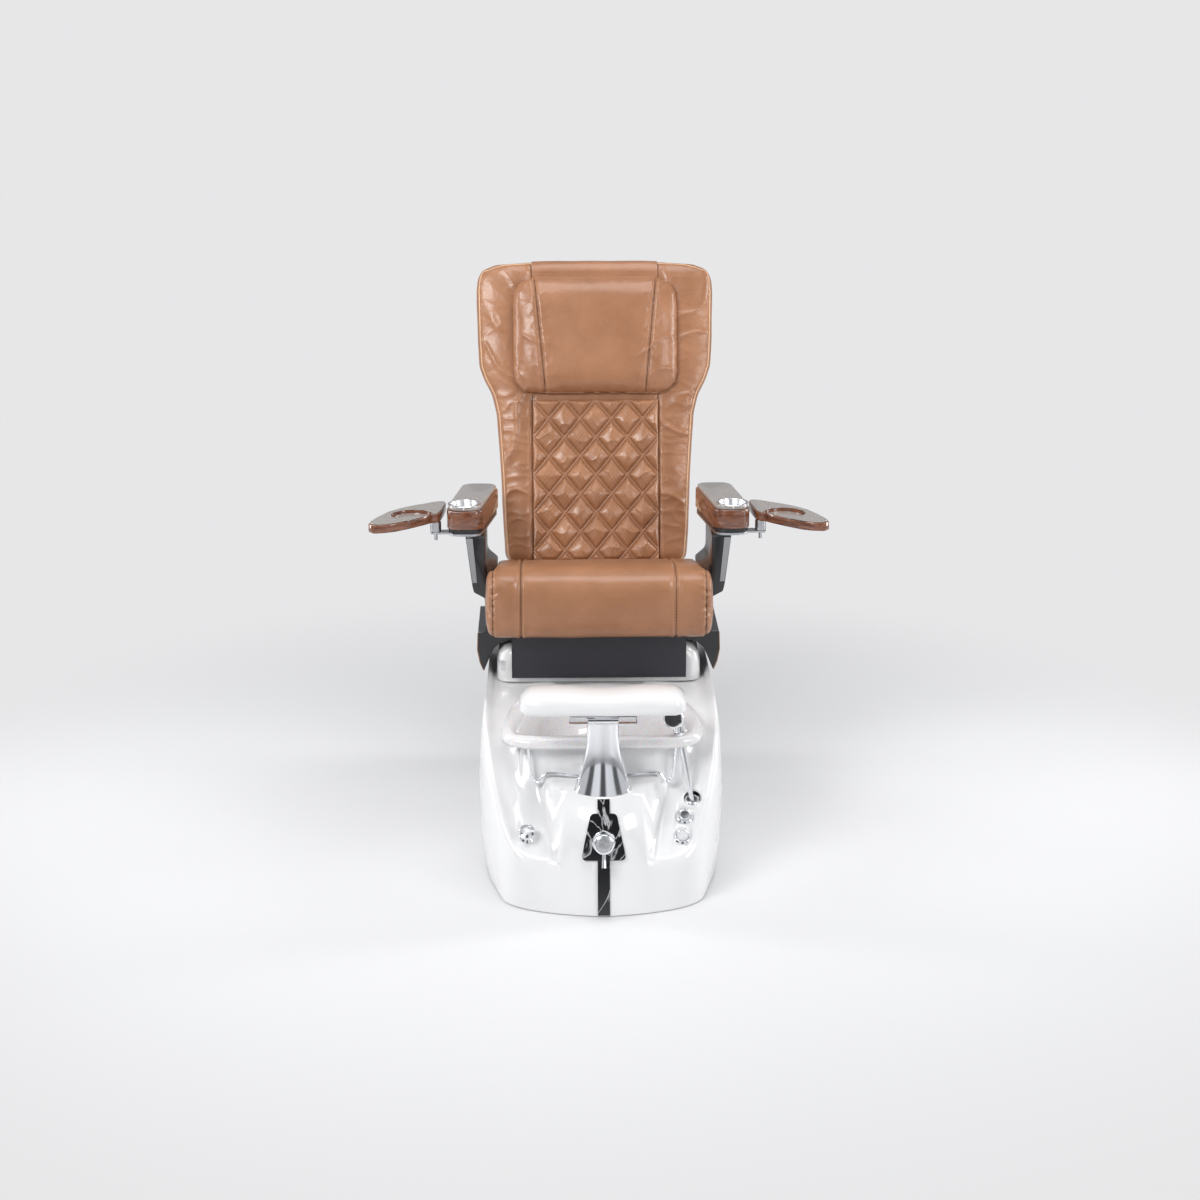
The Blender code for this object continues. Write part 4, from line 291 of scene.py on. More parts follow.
def spun_again(node, material, sides=72, angle=35, round_over=0.0004):
    """A turned CAD piece with finer sides: its own half section spun about its own axis."""
    source = frame["nodes"][node]
    work = bmesh.new()
    work.from_mesh(source.data)
    bmesh.ops.remove_doubles(work, verts=work.verts, dist=0.00002)
    points = np.array([vert.co for vert in work.verts])
    centre = Vector(points.mean(axis=0))
    sizes, ways = np.linalg.eigh(np.cov(points.T))
    odd = 0 if sizes[1] - sizes[0] > sizes[2] - sizes[1] else 2
    axis = Vector(ways[:, odd]).normalized()
    arms = [vert.co - centre - axis * (vert.co - centre).dot(axis) for vert in work.verts]
    out = max(arms, key=lambda arm: arm.length).normalized()
    everything = work.verts[:] + work.edges[:] + work.faces[:]
    bmesh.ops.bisect_plane(work, geom=everything, dist=0.00001, plane_co=centre, plane_no=axis.cross(out),
                           clear_inner=True, clear_outer=True)
    behind = [vert for vert in work.verts if (vert.co - centre).dot(out) < -0.00001]
    bmesh.ops.delete(work, geom=behind, context="VERTS")
    bmesh.ops.remove_doubles(work, verts=work.verts, dist=0.00005)
    bmesh.ops.spin(work, geom=work.verts[:] + work.edges[:], cent=centre, axis=axis,
                   angle=2 * math.pi, steps=sides, use_merge=True)
    bmesh.ops.remove_doubles(work, verts=work.verts, dist=0.00003)
    bmesh.ops.dissolve_degenerate(work, dist=0.000001, edges=work.edges)
    bmesh.ops.recalc_face_normals(work, faces=work.faces)
    sheet = bpy.data.meshes.new(node + "_spun")
    work.to_mesh(sheet)
    work.free()
    return finished(node, sheet, material, angle, round_over)


for node in ("mixer_trim", "mixer_collar", "diverter_base", "diverter_knob", "jet_bezel", "drain_bezel",
             "sprayer_ring", "sprayer_collar"):
    spun_again(node, chrome_plate)
for node in ("drain_body", "drain_stopper"):
    smooth_copy(node, chrome_plate, angle=35, round_over=0.0004)
smooth_copy("towel_rail", chrome_plate, angle=60, flat=0.05)
for node in ("footrest_bracket", "footrest_leaf"):
    smooth_copy(node, chrome_plate, angle=30, round_over=0.0005)

zinc_plate, add, link, shader = shader_of("zinc_plate", (0.55, 0.56, 0.58), 0.3, metallic=1.0)
place = add("ShaderNodeTexCoord")
brush = put(add, "ShaderNodeTexNoise", {"Scale": 220.0})
stretch = put(add, "ShaderNodeMapping", {"Scale": (0.06, 1.0, 1.0)})
rub = put(add, "ShaderNodeMapRange", {"To Min": 0.22, "To Max": 0.42})
wire(link, (place, "Object", stretch, "Vector"), (stretch, "Vector", brush, "Vector"),
     (brush, "Fac", rub, "Value"), (rub, "Result", shader, "Roughness"))
for node in ("slide_rails", "back_frame", "arm_plate_left", "arm_plate_right", "tray_boss_left",
             "tray_boss_right"):
    smooth_copy(node, zinc_plate, angle=35, round_over=0.0006)

powder_coat = worn("powder_coat", (0.035, 0.035, 0.04), 0.45, {"Scale": 900.0}, relief=(0.25, 0.0004))
for node in ("base_frame", "seat_carriage"):
    smooth_copy(node, powder_coat, angle=35, round_over=0.0008)

bronze_cover = worn("bronze_cover", (0.30, 0.16, 0.09), 0.3, {"Scale": 40.0}, metallic=1.0,
                    tones=((0.0, (0.20, 0.10, 0.06, 1)), (1.0, (0.40, 0.22, 0.13, 1))))

black_moulding = worn("black_moulding", (0.014, 0.014, 0.016), 0.28, {"Scale": 600.0}, coat=0.3,
                      shine=(0.20, 0.38), relief=(0.12, 0.0004))
for node, slot in (("arm_post_left", "black_plastic"), ("arm_post_right", "black_plastic"),
                   ("side_skirt_left", "skirt_plastic"), ("side_skirt_right", "skirt_plastic"),
                   ("arm_base_left", "black_plastic"), ("arm_base_right", "black_plastic"),
                   ("seat_board", "black_plastic"),
                   ("drain_pump", "motor_plastic"), ("control_box", "motor_plastic"),
                   ("jet_motor", "motor_plastic")):
    smooth_copy(node, black_moulding, angle=38, round_over=0.0008)
back_shell_piece = smooth_copy("back_shell", black_moulding, angle=38, round_over=0.0008)

# ---------------------------------------------------------------- seat cushion
# A foam block under caramel leather: a thick roll in front that hangs over the board, and a flat
# part between the side panels. The cover is three panels joined by two lapped seams over the roll,
# with an end panel sewn in at each side.


def caramel_leather_of(name, light, dark, roughness=0.36, crease=0.35):
    """Semi-aniline leather: pebble grain, soft tone changes and fine creases."""
    made, add, link, shader = shader_of(name, light, roughness, coat=0.30, coat_roughness=0.20)
    place = add("ShaderNodeTexCoord")
    cloud = put(add, "ShaderNodeTexNoise", {"Scale": 9.0, "Detail": 6.0, "Roughness": 0.6})
    tone = add("ShaderNodeValToRGB")
    ramp(tone, (0.32, (*dark, 1)), (0.68, (*light, 1)))
    pebble = put(add, "ShaderNodeTexVoronoi", {"Scale": 640.0}, feature="SMOOTH_F1")
    creases = put(add, "ShaderNodeTexNoise", {"Scale": 46.0, "Detail": 7.0, "Distortion": 1.4})
    grain_bump = put(add, "ShaderNodeBump", {"Strength": 0.30, "Distance": 0.0004})
    crease_bump = put(add, "ShaderNodeBump", {"Strength": crease, "Distance": 0.0018})
    polish = put(add, "ShaderNodeMapRange", {"To Min": roughness - 0.07, "To Max": roughness + 0.10})
    wire(link, (place, "Object", cloud, "Vector"), (place, "Object", pebble, "Vector"),
         (place, "Object", creases, "Vector"), (cloud, "Fac", tone, "Fac"),
         (tone, "Color", shader, "Base Color"), (creases, "Fac", crease_bump, "Height"),
         (pebble, "Distance", grain_bump, "Height"), (crease_bump, "Normal", grain_bump, "Normal"),
         (grain_bump, "Normal", shader, "Normal"), (cloud, "Fac", polish, "Value"),
         (polish, "Result", shader, "Roughness"))
    return made


def stuffed(node, name, shrink, voxel, held, cap, pressure=4.0):
    """A cushion from a CAD node's solid: a little smaller, remeshed, and blown up as cloth. held(co)
    gives 0 where the cover is free to 1 where it is sewn or rests on something; no point moves more
    than cap."""
    work = bmesh.new()
    work.from_mesh(frame["nodes"][node].data)
    bmesh.ops.remove_doubles(work, verts=work.verts, dist=0.00002)
    work.normal_update()
    for vert in work.verts:
        vert.co -= vert.normal * shrink
    sheet = bpy.data.meshes.new(name + "_start")
    work.to_mesh(sheet)
    work.free()
    made = bpy.data.objects.new(name, sheet)
    scene.collection.objects.link(made)
    remesh = made.modifiers.new("even_faces", "REMESH")
    remesh.mode = "VOXEL"
    remesh.voxel_size = voxel
    ease = made.modifiers.new("soft_edges", "SMOOTH")
    ease.factor = 0.5
    ease.iterations = 6
    made.data = bpy.data.meshes.new_from_object(made.evaluated_get(bpy.context.evaluated_depsgraph_get()))
    made.modifiers.clear()
    start = [vert.co.copy() for vert in made.data.vertices]
    sewn = made.vertex_groups.new(name="sewn")
    for number, point in enumerate(start):
        sewn.add([number], max(0.0, min(1.0, held(point))), "REPLACE")
    cloth = made.modifiers.new("stuffing", "CLOTH")
    cloth.settings.vertex_group_mass = "sewn"
    cloth.settings.quality = 4
    cloth.settings.mass = 0.3
    cloth.settings.use_pressure = True
    cloth.settings.uniform_pressure_force = pressure
    cloth.settings.effector_weights.gravity = 0
    cloth.collision_settings.use_collision = False
    cloth.point_cache.frame_end = 20
    for number in range(1, 21):
        scene.frame_set(number)
    puffed = made.evaluated_get(bpy.context.evaluated_depsgraph_get())
    ends = [vert.co.copy() for vert in puffed.data.vertices]
    made.modifiers.clear()
    scene.frame_set(1)
    for vert, one, two in zip(made.data.vertices, start, ends):
        move = two - one
        vert.co = one + move * min(1.0, cap / max(move.length, 1e-9))
    return made


def pressed(cover, depth):
    """Halves a cover's faces, then moves each point along its normal by depth(co, normal)."""
    finer = cover.modifiers.new("finer", "SUBSURF")
    finer.levels = 1
    cover.data = bpy.data.meshes.new_from_object(cover.evaluated_get(bpy.context.evaluated_depsgraph_get()))
    cover.modifiers.clear()
    work = bmesh.new()
    work.from_mesh(cover.data)
    work.normal_update()
    for vert, move in [(vert, depth(vert.co, vert.normal)) for vert in work.verts]:
        vert.co += vert.normal * move
    work.to_mesh(cover.data)
    work.free()
    cover.data.shade_smooth()


def bump_at(distance, width):
    return math.exp(-(distance / width) ** 2)


def upholstered(cover, material, body, nodes):
    cover.data.materials.clear()
    cover.data.materials.append(material)
    cover.data.shade_smooth()
    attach(cover, body)
    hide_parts(*nodes)
    return cover


seat_leather = caramel_leather_of("seat_leather", (0.41, 0.190, 0.093), (0.32, 0.141, 0.066))
SEAM_LEFT, SEAM_RIGHT = -0.210, 0.205       # lapped seams over the roll
END_SEAM = 0.286


def seat_held(co):
    seam = max(bump_at(co.x - SEAM_LEFT, 0.006), bump_at(co.x - SEAM_RIGHT, 0.006))
    under = 1.0 if co.z < 0.580 else 0.0
    side = 0.8 if abs(co.x) > 0.262 and co.y > 0.0 else 0.0
    rear = 0.8 if co.y > 0.25 else 0.0
    return max(seam, under, side, rear)


def clamp01(value):
    return max(0.0, min(1.0, value))


def seat_cover(co, normal):
    side = abs(co.x)
    seam = min(abs(co.x - SEAM_LEFT), abs(co.x - SEAM_RIGHT))
    move = -0.0042 * bump_at(seam, 0.0036) + 0.0016 * bump_at(seam - 0.009, 0.005)
    if co.y < 0.0:
        edge = abs(side - END_SEAM)
        move += -0.0030 * bump_at(edge, 0.0035)
        gather = clamp01((side - 0.262) / 0.020) * clamp01((0.300 - side) / 0.012)
        move += 0.0016 * gather * math.sin(math.atan2(co.z - 0.665,
                                                      co.y + 0.055) * 26 + 3 * noise.noise(co * 24))
    wave = noise.noise(Vector((co.x * 7, co.y * 10, co.z * 10)))
    move += 0.0022 * wave
    fold = 1 - abs(noise.noise(Vector((co.x * 26 + 5, co.y * 12, co.z * 9))))
    near = max(bump_at(side - 0.275, 0.030), 0.35 * bump_at(seam, 0.03))
    move += 0.0022 * near * (fold ** 5)
    return move


seat_cover_piece = stuffed("seat_cushion", "seat_cover", 0.004, 0.0065, seat_held, 0.010)
pressed(seat_cover_piece, seat_cover)
upholstered(seat_cover_piece, seat_leather, "seat", ["seat_cushion"])

# ---------------------------------------------------------------- backrest
# A keyhole-shaped foam slab on a plastic shell, wider at the shoulders. Its leather cover has a side
# band, a light piped seam round the front, wrinkled bolsters, and a sewn-in quilted panel.

LEAN = math.radians(17)
back_up = Vector((0, math.sin(LEAN), math.cos(LEAN)))
back_out = Vector((0, -math.cos(LEAN), math.sin(LEAN)))
back_foot = Vector((0, 0.270, 0.620))


def on_back(across, up, proud=0.0):
    return back_foot + Vector((across, 0, 0)) + back_up * up + back_out * proud


def across_back(co):
    """Across, up and proud of the backrest's front plane."""
    from_foot = co - back_foot
    return co.x, from_foot.dot(back_up), from_foot.dot(back_out)


PANEL_HALF, PANEL_LOW, PANEL_TOP = 0.1775, 0.063, 0.518
back_sides = [(0.050, 0.2520), (0.072, 0.2615), (0.170, 0.2675), (0.320, 0.2735), (0.480, 0.284),
              (0.535, 0.297),
              (0.577, 0.3190), (0.617, 0.333), (0.700, 0.3375), (0.830, 0.3400), (0.868, 0.3370), (0.921,
                                                                                                   0.325)]


def half_width(up):
    for (low, narrow), (high, wide) in zip(back_sides, back_sides[1:]):
        if up <= high:
            return narrow + (wide - narrow) * clamp01((up - low) / (high - low))
    return back_sides[-1][1]


def back_held(co):
    x, up, proud = across_back(co)
    if proud < -0.012:
        return 1.0 if proud < -0.055 else 0.75
    middle = abs(x) < 0.172 and up < 0.53
    behind_pillow = abs(x) < 0.225 and up > 0.54
    seam = bump_at(abs(x) - PANEL_HALF, 0.006) if up < 0.53 else 0.0
    edge = clamp01(1 - (half_width(up) - abs(x)) / 0.016)
    return max(1.0 if middle or behind_pillow else 0.0, seam, edge)


def back_cover(co, normal):
    x, up, proud = across_back(co)
    if proud < -0.012:
        return 0.0008 * noise.noise(co * 18)
    side = abs(x)
    room = half_width(up) - side
    free = clamp01(room / 0.03) * clamp01((side - PANEL_HALF) / 0.02)
    shoulder = clamp01((up - 0.54) / 0.06)
    slant = up * 30 + side * 26 * (1 if up < 0.54 else -1)
    drift = noise.noise(Vector((x * 9, up * 7, 2.0)))
    fold = 1 - abs(math.sin(slant * 0.5 + 3.4 * drift))
    move = free * (0.0064 * fold ** 3 - 0.0022) * (1 - 0.35 * shoulder)
    small = 1 - abs(noise.noise(Vector((x * 16, up * 30, 5.0))))
    move += 0.0024 * free * small ** 5 * (1 - 0.6 * shoulder)
    gather = clamp01(1 - room / 0.030) * clamp01(room / 0.004)
    move += 0.0013 * gather * math.sin(up * 260 + 5 * drift) * (1 - 0.6 * shoulder)
    if up < 0.53:
        move -= 0.0040 * bump_at(side - PANEL_HALF, 0.0045)
        move += 0.0015 * bump_at(side - PANEL_HALF - 0.010, 0.004)
    move += 0.0016 * drift
    return move


back_leather = caramel_leather_of("back_leather", (0.42, 0.195, 0.097), (0.32, 0.142, 0.067), 0.33, 0.5)
back_cover_piece = stuffed("back_cushion", "back_cover", 0.003, 0.0082, back_held, 0.010)
pressed(back_cover_piece, back_cover)
upholstered(back_cover_piece, back_leather, "backrest", ["back_cushion"])

# ---------------------------------------------------------------- quilted panel of the backrest
# A thin foam layer quilted in diamonds with two parallel rows of thread on each line.

DIAMOND_W, DIAMOND_H = 0.0888, 0.1070
STRIP = 0.0042              # half the flat strip between the two rows of thread
quilt_slope = math.atan2(DIAMOND_H, DIAMOND_W)


def quilt_line_distance(x, up):
    """How far a point lies from the nearest diagonal line, and from the next nearest."""
    reach = DIAMOND_W * math.sin(quilt_slope) / 2
    gaps = []
    for way in (1, -1):
        turn = x / DIAMOND_W + way * (up - PANEL_TOP) / DIAMOND_H
        gaps.append(abs(turn - math.floor(turn) - 0.5) * 2)
    return (1 - gaps[0]) * reach, (1 - gaps[1]) * reach


def quilt_height(x, up):
    one, two = quilt_line_distance(x, up)
    near = min(one, two)
    if near < STRIP:
        height = 0.0014 + 0.0016 * (1 - (near / STRIP) ** 2)
    else:
        reach = DIAMOND_W * math.sin(quilt_slope) / 2
        rise = 1 - math.exp(-(near - STRIP) / 0.0042)
        dome = math.sin(math.pi / 2 * min(1.0, one / reach)) * math.sin(math.pi / 2 * min(1.0, two / reach))
        height = 0.0014 + 0.0050 * rise + 0.0080 * dome
        pinch = 1 - abs(noise.noise(Vector((x * 24, up * 20, 1.0))))
        height += 0.0030 * pinch ** 5 * rise + 0.0010 * noise.noise(Vector((x * 40, up * 40, 3)))
    height -= 0.0022 * bump_at(near - STRIP, 0.0012)
    border = min(PANEL_HALF - abs(x), PANEL_TOP - up, up - PANEL_LOW)
    return height * clamp01(border / 0.010) ** 0.5


columns, rows = 250, 320
work = bmesh.new()
quilt_grid = []
for row in range(rows + 1):
    up = PANEL_LOW + (PANEL_TOP - PANEL_LOW) * row / rows
    line = []
    for column in range(columns + 1):
        x = -PANEL_HALF + 2 * PANEL_HALF * column / columns
        line.append(work.verts.new(on_back(x, up, 0.0004 + quilt_height(x, up))))
    quilt_grid.append(line)
for low, high in zip(quilt_grid, quilt_grid[1:]):
    for one, two, three, four in zip(low, low[1:], high[1:], high):
        work.faces.new((one, two, three, four))
rim_loop = (quilt_grid[0] + [line[-1] for line in quilt_grid[1:-1]] + quilt_grid[-1][::-1]
            + [line[0] for line in quilt_grid[-2:0:-1]])
deep_loop = [work.verts.new(vert.co - back_out * 0.0060) for vert in rim_loop]
count = len(rim_loop)
for number in range(count):
    following = (number + 1) % count
    work.faces.new((rim_loop[following], rim_loop[number], deep_loop[number], deep_loop[following]))
work.faces.new(deep_loop[::-1])
bmesh.ops.recalc_face_normals(work, faces=work.faces)
quilt_sheet = bpy.data.meshes.new("quilted_leather")
work.to_mesh(quilt_sheet)
work.free()
quilt_piece = bpy.data.objects.new("quilted_leather", quilt_sheet)
scene.collection.objects.link(quilt_piece)
upholstered(quilt_piece, back_leather, "backrest", ["quilted_panel"])

# ---------------------------------------------------------------- head pillow
# A stuffed leather pillow with rounded lower corners, folded over the top of the backrest by a wide
# leather strap sewn to its rear. Two slanted seams divide it into a middle and two side panels.

pillow_leather = caramel_leather_of("pillow_leather", (0.40, 0.184, 0.091), (0.315, 0.137, 0.064), 0.34,
                                    0.45)
PILLOW_HALF, PILLOW_LOW, PILLOW_TOP = 0.234, 0.535, 0.864


def pillow_room(x, up):
    """How far a point is inside the pillow's outline."""
    radius = 0.060
    dx = abs(x) - (PILLOW_HALF - radius)
    dz = abs(up - (PILLOW_LOW + PILLOW_TOP) / 2) - ((PILLOW_TOP - PILLOW_LOW) / 2 - radius)
    outside = math.hypot(max(dx, 0), max(dz, 0)) + min(max(dx, dz), 0)
    return radius - outside


def pillow_seam_x(up):
    """Where the slanted seam lies at this height."""
    return 0.142 + 0.030 * (up - 0.543) / 0.322


def pillow_held(co):
    x, up, proud = across_back(co)
    behind = 1.0 if proud < 0.004 else 0.0
    strap = 1.0 if up > 0.845 and proud < 0.010 else 0.0
    return max(behind, strap, bump_at(abs(x) - pillow_seam_x(up), 0.006),
               bump_at(pillow_room(x, up), 0.006))


def pillow_cover(co, normal):
    x, up, proud = across_back(co)
    if proud < 0.003 or up > PILLOW_TOP + 0.004:
        return 0.0006 * noise.noise(co * 30)
    room = pillow_room(x, up)
    seam = abs(abs(x) - pillow_seam_x(up))
    free = clamp01(room / 0.020)
    move = -0.0040 * bump_at(seam, 0.0038) + 0.0014 * bump_at(seam - 0.010, 0.006)
    drift = noise.noise(Vector((x * 6, up * 6, 7.0)))
    move += free * 0.0035 * drift
    fold = 1 - abs(math.sin((up * 16 - abs(x) * 9) + 3.0 * drift))
    move += free * 0.0028 * fold ** 4 * clamp01((abs(x) - 0.09) / 0.06)
    small = 1 - abs(noise.noise(Vector((x * 22, up * 28, 4.0))))
    move += 0.0016 * small ** 5 * max(bump_at(seam - 0.012, 0.016), clamp01(1 - room / 0.04))
    return move


pillow_cover_piece = stuffed("pillow", "pillow_cover", 0.0015, 0.0055, pillow_held, 0.012)
pressed(pillow_cover_piece, pillow_cover)
upholstered(pillow_cover_piece, pillow_leather, "backrest", ["pillow"])

# ---------------------------------------------------------------- armrest bodies
# Each arm is a burl-veneered body under clear lacquer with a taupe lacquered top board, screwed to a
# black base plate; a spun cup holder drops into the front.


def burl_of(name, grain_turn):
    """Red-brown burl veneer with a fine drifting grain, under a thick clear lacquer."""
    made, add, link, shader = shader_of(name, (0.17, 0.058, 0.026), 0.24, coat=1.0, coat_roughness=0.03)
    place = add("ShaderNodeTexCoord")
    turn = put(add, "ShaderNodeMapping", {"Rotation": grain_turn, "Scale": (9.0, 9.0, 60.0)})
    swirl = put(add, "ShaderNodeTexNoise", {"Scale": 1.5, "Detail": 9.0, "Roughness": 0.66,
                                            "Distortion": 1.8})
    shades = add("ShaderNodeValToRGB")
    ramp(shades, (0.34, (0.050, 0.015, 0.007, 1)), (0.66, (0.27, 0.098, 0.042, 1)))
    shades.color_ramp.elements.new(0.47).color = (0.155, 0.050, 0.022, 1)
    wire(link, (place, "Object", turn, "Vector"), (turn, "Vector", swirl, "Vector"),
         (swirl, "Fac", shades, "Fac"), (shades, "Color", shader, "Base Color"))
    return made


arm_burl = burl_of("arm_burl", (0.10, 0.06, 0.5))
arm_taupe = worn("arm_taupe", (0.36, 0.325, 0.30), 0.16, {"Scale": 12.0, "Detail": 4.0}, coat=0.7,
                 tones=((0.0, (0.335, 0.30, 0.275, 1)), (1.0, (0.385, 0.35, 0.325, 1))))
cup_metal = worn("cup_metal", (0.78, 0.78, 0.80), 0.24, {"Scale": 90.0}, metallic=1.0, shine=(0.24, 0.38))
for side in ("left", "right"):
    smooth_copy("arm_wood_" + side, arm_burl, angle=40, round_over=0.003, steps=3)
    smooth_copy("arm_top_" + side, arm_taupe, angle=40, round_over=0.0022, steps=3)
    spun_again("cup_holder_" + side, cup_metal, angle=40)

# ---------------------------------------------------------------- swing trays
# A burl tray with a taupe surface on a pivot outside each arm. Its round turned recess has a taupe
# floor, and a thin lip of the same wood closes it along the tray's edge.

tray_burl = burl_of("tray_burl", (0.08, 0.12, 0.2))


def tray_piece(name, work, material, body):
    """A looks piece of a tray, its faces turned outward."""
    bmesh.ops.recalc_face_normals(work, faces=list(work.faces))
    sheet = bpy.data.meshes.new(name)
    work.to_mesh(sheet)
    work.free()
    sheet.materials.append(material)
    made = bpy.data.objects.new(name, sheet)
    scene.collection.objects.link(made)
    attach(made, body)


LIP_PROFILE = [(0, -0.003), (0, 0.005), (0.0018, 0.0090), (0.0036, 0.0094), (0.0044, 0.0088),
               (0.0044, -0.0005)]
for side, sign in (("left", -1), ("right", 1)):
    smooth_copy("tray_body_" + side, tray_burl, angle=40, round_over=0.0025, steps=3)
    smooth_copy("tray_top_" + side, arm_taupe, angle=40, round_over=0.0006)
    work = bmesh.new()
    work.from_mesh(frame["nodes"]["tray_body_" + side].data)
    work.transform(frame["nodes"]["tray_body_" + side].matrix_world)
    middle = Vector((sign * 0.502, 0.006, 0.8795))       # of the turned recess's floor
    bmesh.ops.delete(work, context="FACES", geom=[
        face for face in work.faces
        if face.normal.z < 0.9 or abs(face.calc_center_median().z - middle.z) > 0.0003])
    open_edge = []
    for vert in work.verts:
        from_middle = vert.co - middle
        if from_middle.length < 0.0568:                  # on the tray's outline, inside the recess's wall
            turn = math.atan2(from_middle.y, sign * from_middle.x) % (2 * math.pi)
            open_edge.append((turn, vert.co.copy(), -from_middle.normalized()))
    bmesh.ops.solidify(work, geom=list(work.faces), thickness=0.0006)
    for vert in work.verts:
        vert.co = middle + (vert.co - middle) * Vector((0.955, 0.955, 1)) + Vector((0, 0, 0.0008))
    tray_piece("recess_floor_" + side, work, arm_taupe, "tray_" + side)
    work = bmesh.new()
    rows = [[work.verts.new(place + inward * into + Vector((0, 0, rise))) for into, rise in LIP_PROFILE]
            for turn, place, inward in sorted(open_edge, key=lambda row: row[0])]
    for near, far in zip(rows, rows[1:]):
        for at in range(len(near)):
            work.faces.new((near[at], near[at - 1], far[at - 1], far[at]))
    work.faces.new(rows[0])
    work.faces.new(rows[-1])
    tray_piece("tray_lip_" + side, work, tray_burl, "tray_" + side)

# ---------------------------------------------------------------- mixer cap, sprayer, pedestal
# The mixer's cap is a chromed casting with a satin lid and a short round lever. The hand shower has a
# chromed handle and a round head with a black nozzle face. The pedestal is one chromed trumpet.


def revolved(name, profile, at, direction, sides=64):
    """A closed body of revolution from (radius, height) pairs that start and end on the axis."""
    turn = Vector(direction).to_track_quat("Z", "Y").to_matrix()
    work = bmesh.new()
    line = [work.verts.new((radius, 0, height)) for radius, height in profile]
    edges = [work.edges.new(pair) for pair in zip(line, line[1:])]
    bmesh.ops.spin(work, geom=line + edges, cent=(0, 0, 0), axis=(0, 0, 1), angle=2 * math.pi, steps=sides,
                   use_merge=True)
    bmesh.ops.remove_doubles(work, verts=work.verts, dist=0.00003)
    bmesh.ops.recalc_face_normals(work, faces=work.faces)
    for vert in work.verts:
        vert.co = turn @ vert.co + Vector(at)
    sheet = bpy.data.meshes.new(name)
    work.to_mesh(sheet)
    work.free()
    return sheet


def piece_of(name, sheet, material, body, angle=35, round_over=0.0, stands_for=()):
    sheet.materials.append(material)
    sheet.shade_smooth()
    sheet.set_sharp_from_angle(angle=math.radians(angle))
    made = bpy.data.objects.new(name, sheet)
    scene.collection.objects.link(made)
    if round_over:
        edge = made.modifiers.new("edge", "BEVEL")
        edge.width = round_over
        edge.segments = 2
        edge.limit_method = "ANGLE"
        edge.angle_limit = math.radians(angle)
        edge.harden_normals = True
    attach(made, body)
    if stands_for:
        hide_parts(*stands_for)
    return made


mixer_axis = Vector((0, -0.981675, 0.190560))
mixer_at = Vector((0, -0.613352, 0.192207))
mixer_up = Vector((0, 0.190560, 0.981675))
cap_at = mixer_at + mixer_axis * (0.010 + 0.0003)
cap_profile = [(0, 0), (0.0245, 0), (0.0257, 0.005), (0.0265, 0.012), (0.0262, 0.0155), (0.0250, 0.0180),
               (0.0228, 0.0196), (0.0210, 0.0200), (0.0205, 0.0192), (0, 0.0192)]
piece_of("mixer_cap", revolved("mixer_cap", cap_profile, cap_at, mixer_axis, 80), chrome_plate,
         "mixer_lever", stands_for=["mixer_handle"])
satin_lid = worn("satin_lid", (0.60, 0.61, 0.63), 0.34, {"Scale": 260.0, "Detail": 5.0}, metallic=1.0,
                 relief=(0.35, 0.0004),
                 tones=((0.3, (0.40, 0.41, 0.43, 1)), (0.7, (0.74, 0.75, 0.77, 1))))
lid_profile = [(0, 0.0194), (0.0200, 0.0194), (0.0200, 0.0200), (0.0190, 0.0206), (0.0120, 0.0209),
               (0, 0.0210)]
piece_of("mixer_lid", revolved("mixer_lid", lid_profile, cap_at, mixer_axis, 80), satin_lid, "mixer_lever")
lever_line = [(0.0185, 0.0110), (0.0300, 0.0118), (0.0420, 0.0132), (0.0540, 0.0160), (0.0600, 0.0178)]
lever_sheet = bpy.data.curves.new("mixer_lever_line", "CURVE")
lever_sheet.dimensions = "3D"
spline = lever_sheet.splines.new("NURBS")
spline.points.add(len(lever_line) - 1)
for point, (down, lift) in zip(spline.points, lever_line):
    point.co = (*(cap_at - mixer_up * down + mixer_axis * lift), 1)
    point.radius = 0.85 + 0.28 * clamp01((down - 0.02) / 0.04)
spline.use_endpoint_u = True
spline.order_u = 3
lever_sheet.bevel_depth = 0.0052
lever_sheet.bevel_resolution = 8
lever_sheet.use_fill_caps = True
lever_curve = bpy.data.objects.new("mixer_lever_line", lever_sheet)
scene.collection.objects.link(lever_curve)
lever_mesh = bpy.data.meshes.new_from_object(lever_curve.evaluated_get(bpy.context.evaluated_depsgraph_get()))
bpy.data.objects.remove(lever_curve, do_unlink=True)
piece_of("mixer_lever_arm", lever_mesh, chrome_plate, "mixer_lever", angle=50, round_over=0.0010)

spray_axis = Vector((-0.188104, 0.102603, 0.976775))
spray_seat = Vector((0.233, -0.448, 0.2372)) + spray_axis * 0.1808
handle_profile = [(0, 0.044), (0.008, 0.044), (0.0100, 0.0375), (0.0115, 0.030), (0.0123, 0.019),
                  (0.0125, 0.0078),
                  (0.0100, 0.0065), (0.0095, 0.0055), (0.0095, -0.028), (0.0080, -0.032), (0.0065, -0.034),
                  (0.0065, -0.350), (0, -0.350)]
piece_of("sprayer_handle", revolved("sprayer_handle", handle_profile, spray_seat, spray_axis, 48),
         chrome_plate,
         "hand_shower", stands_for=["sprayer"])
head_axis = Vector((-0.35, -0.88, 0.32)).normalized()
head_at = spray_seat + spray_axis * 0.046 + Vector((-0.006, -0.004, 0))
head_profile = [(0, 0.0060), (0.0218, 0.0060), (0.0222, 0.0080), (0.0240, 0.0084), (0.0262, 0.0074),
                (0.0280, 0.0040),
                (0.0276, 0.0005), (0.0258, -0.0025), (0.0200, -0.0060), (0.0150, -0.0080), (0, -0.0080)]
piece_of("sprayer_head", revolved("sprayer_head", head_profile, head_at, head_axis, 80), chrome_plate,
         "hand_shower")
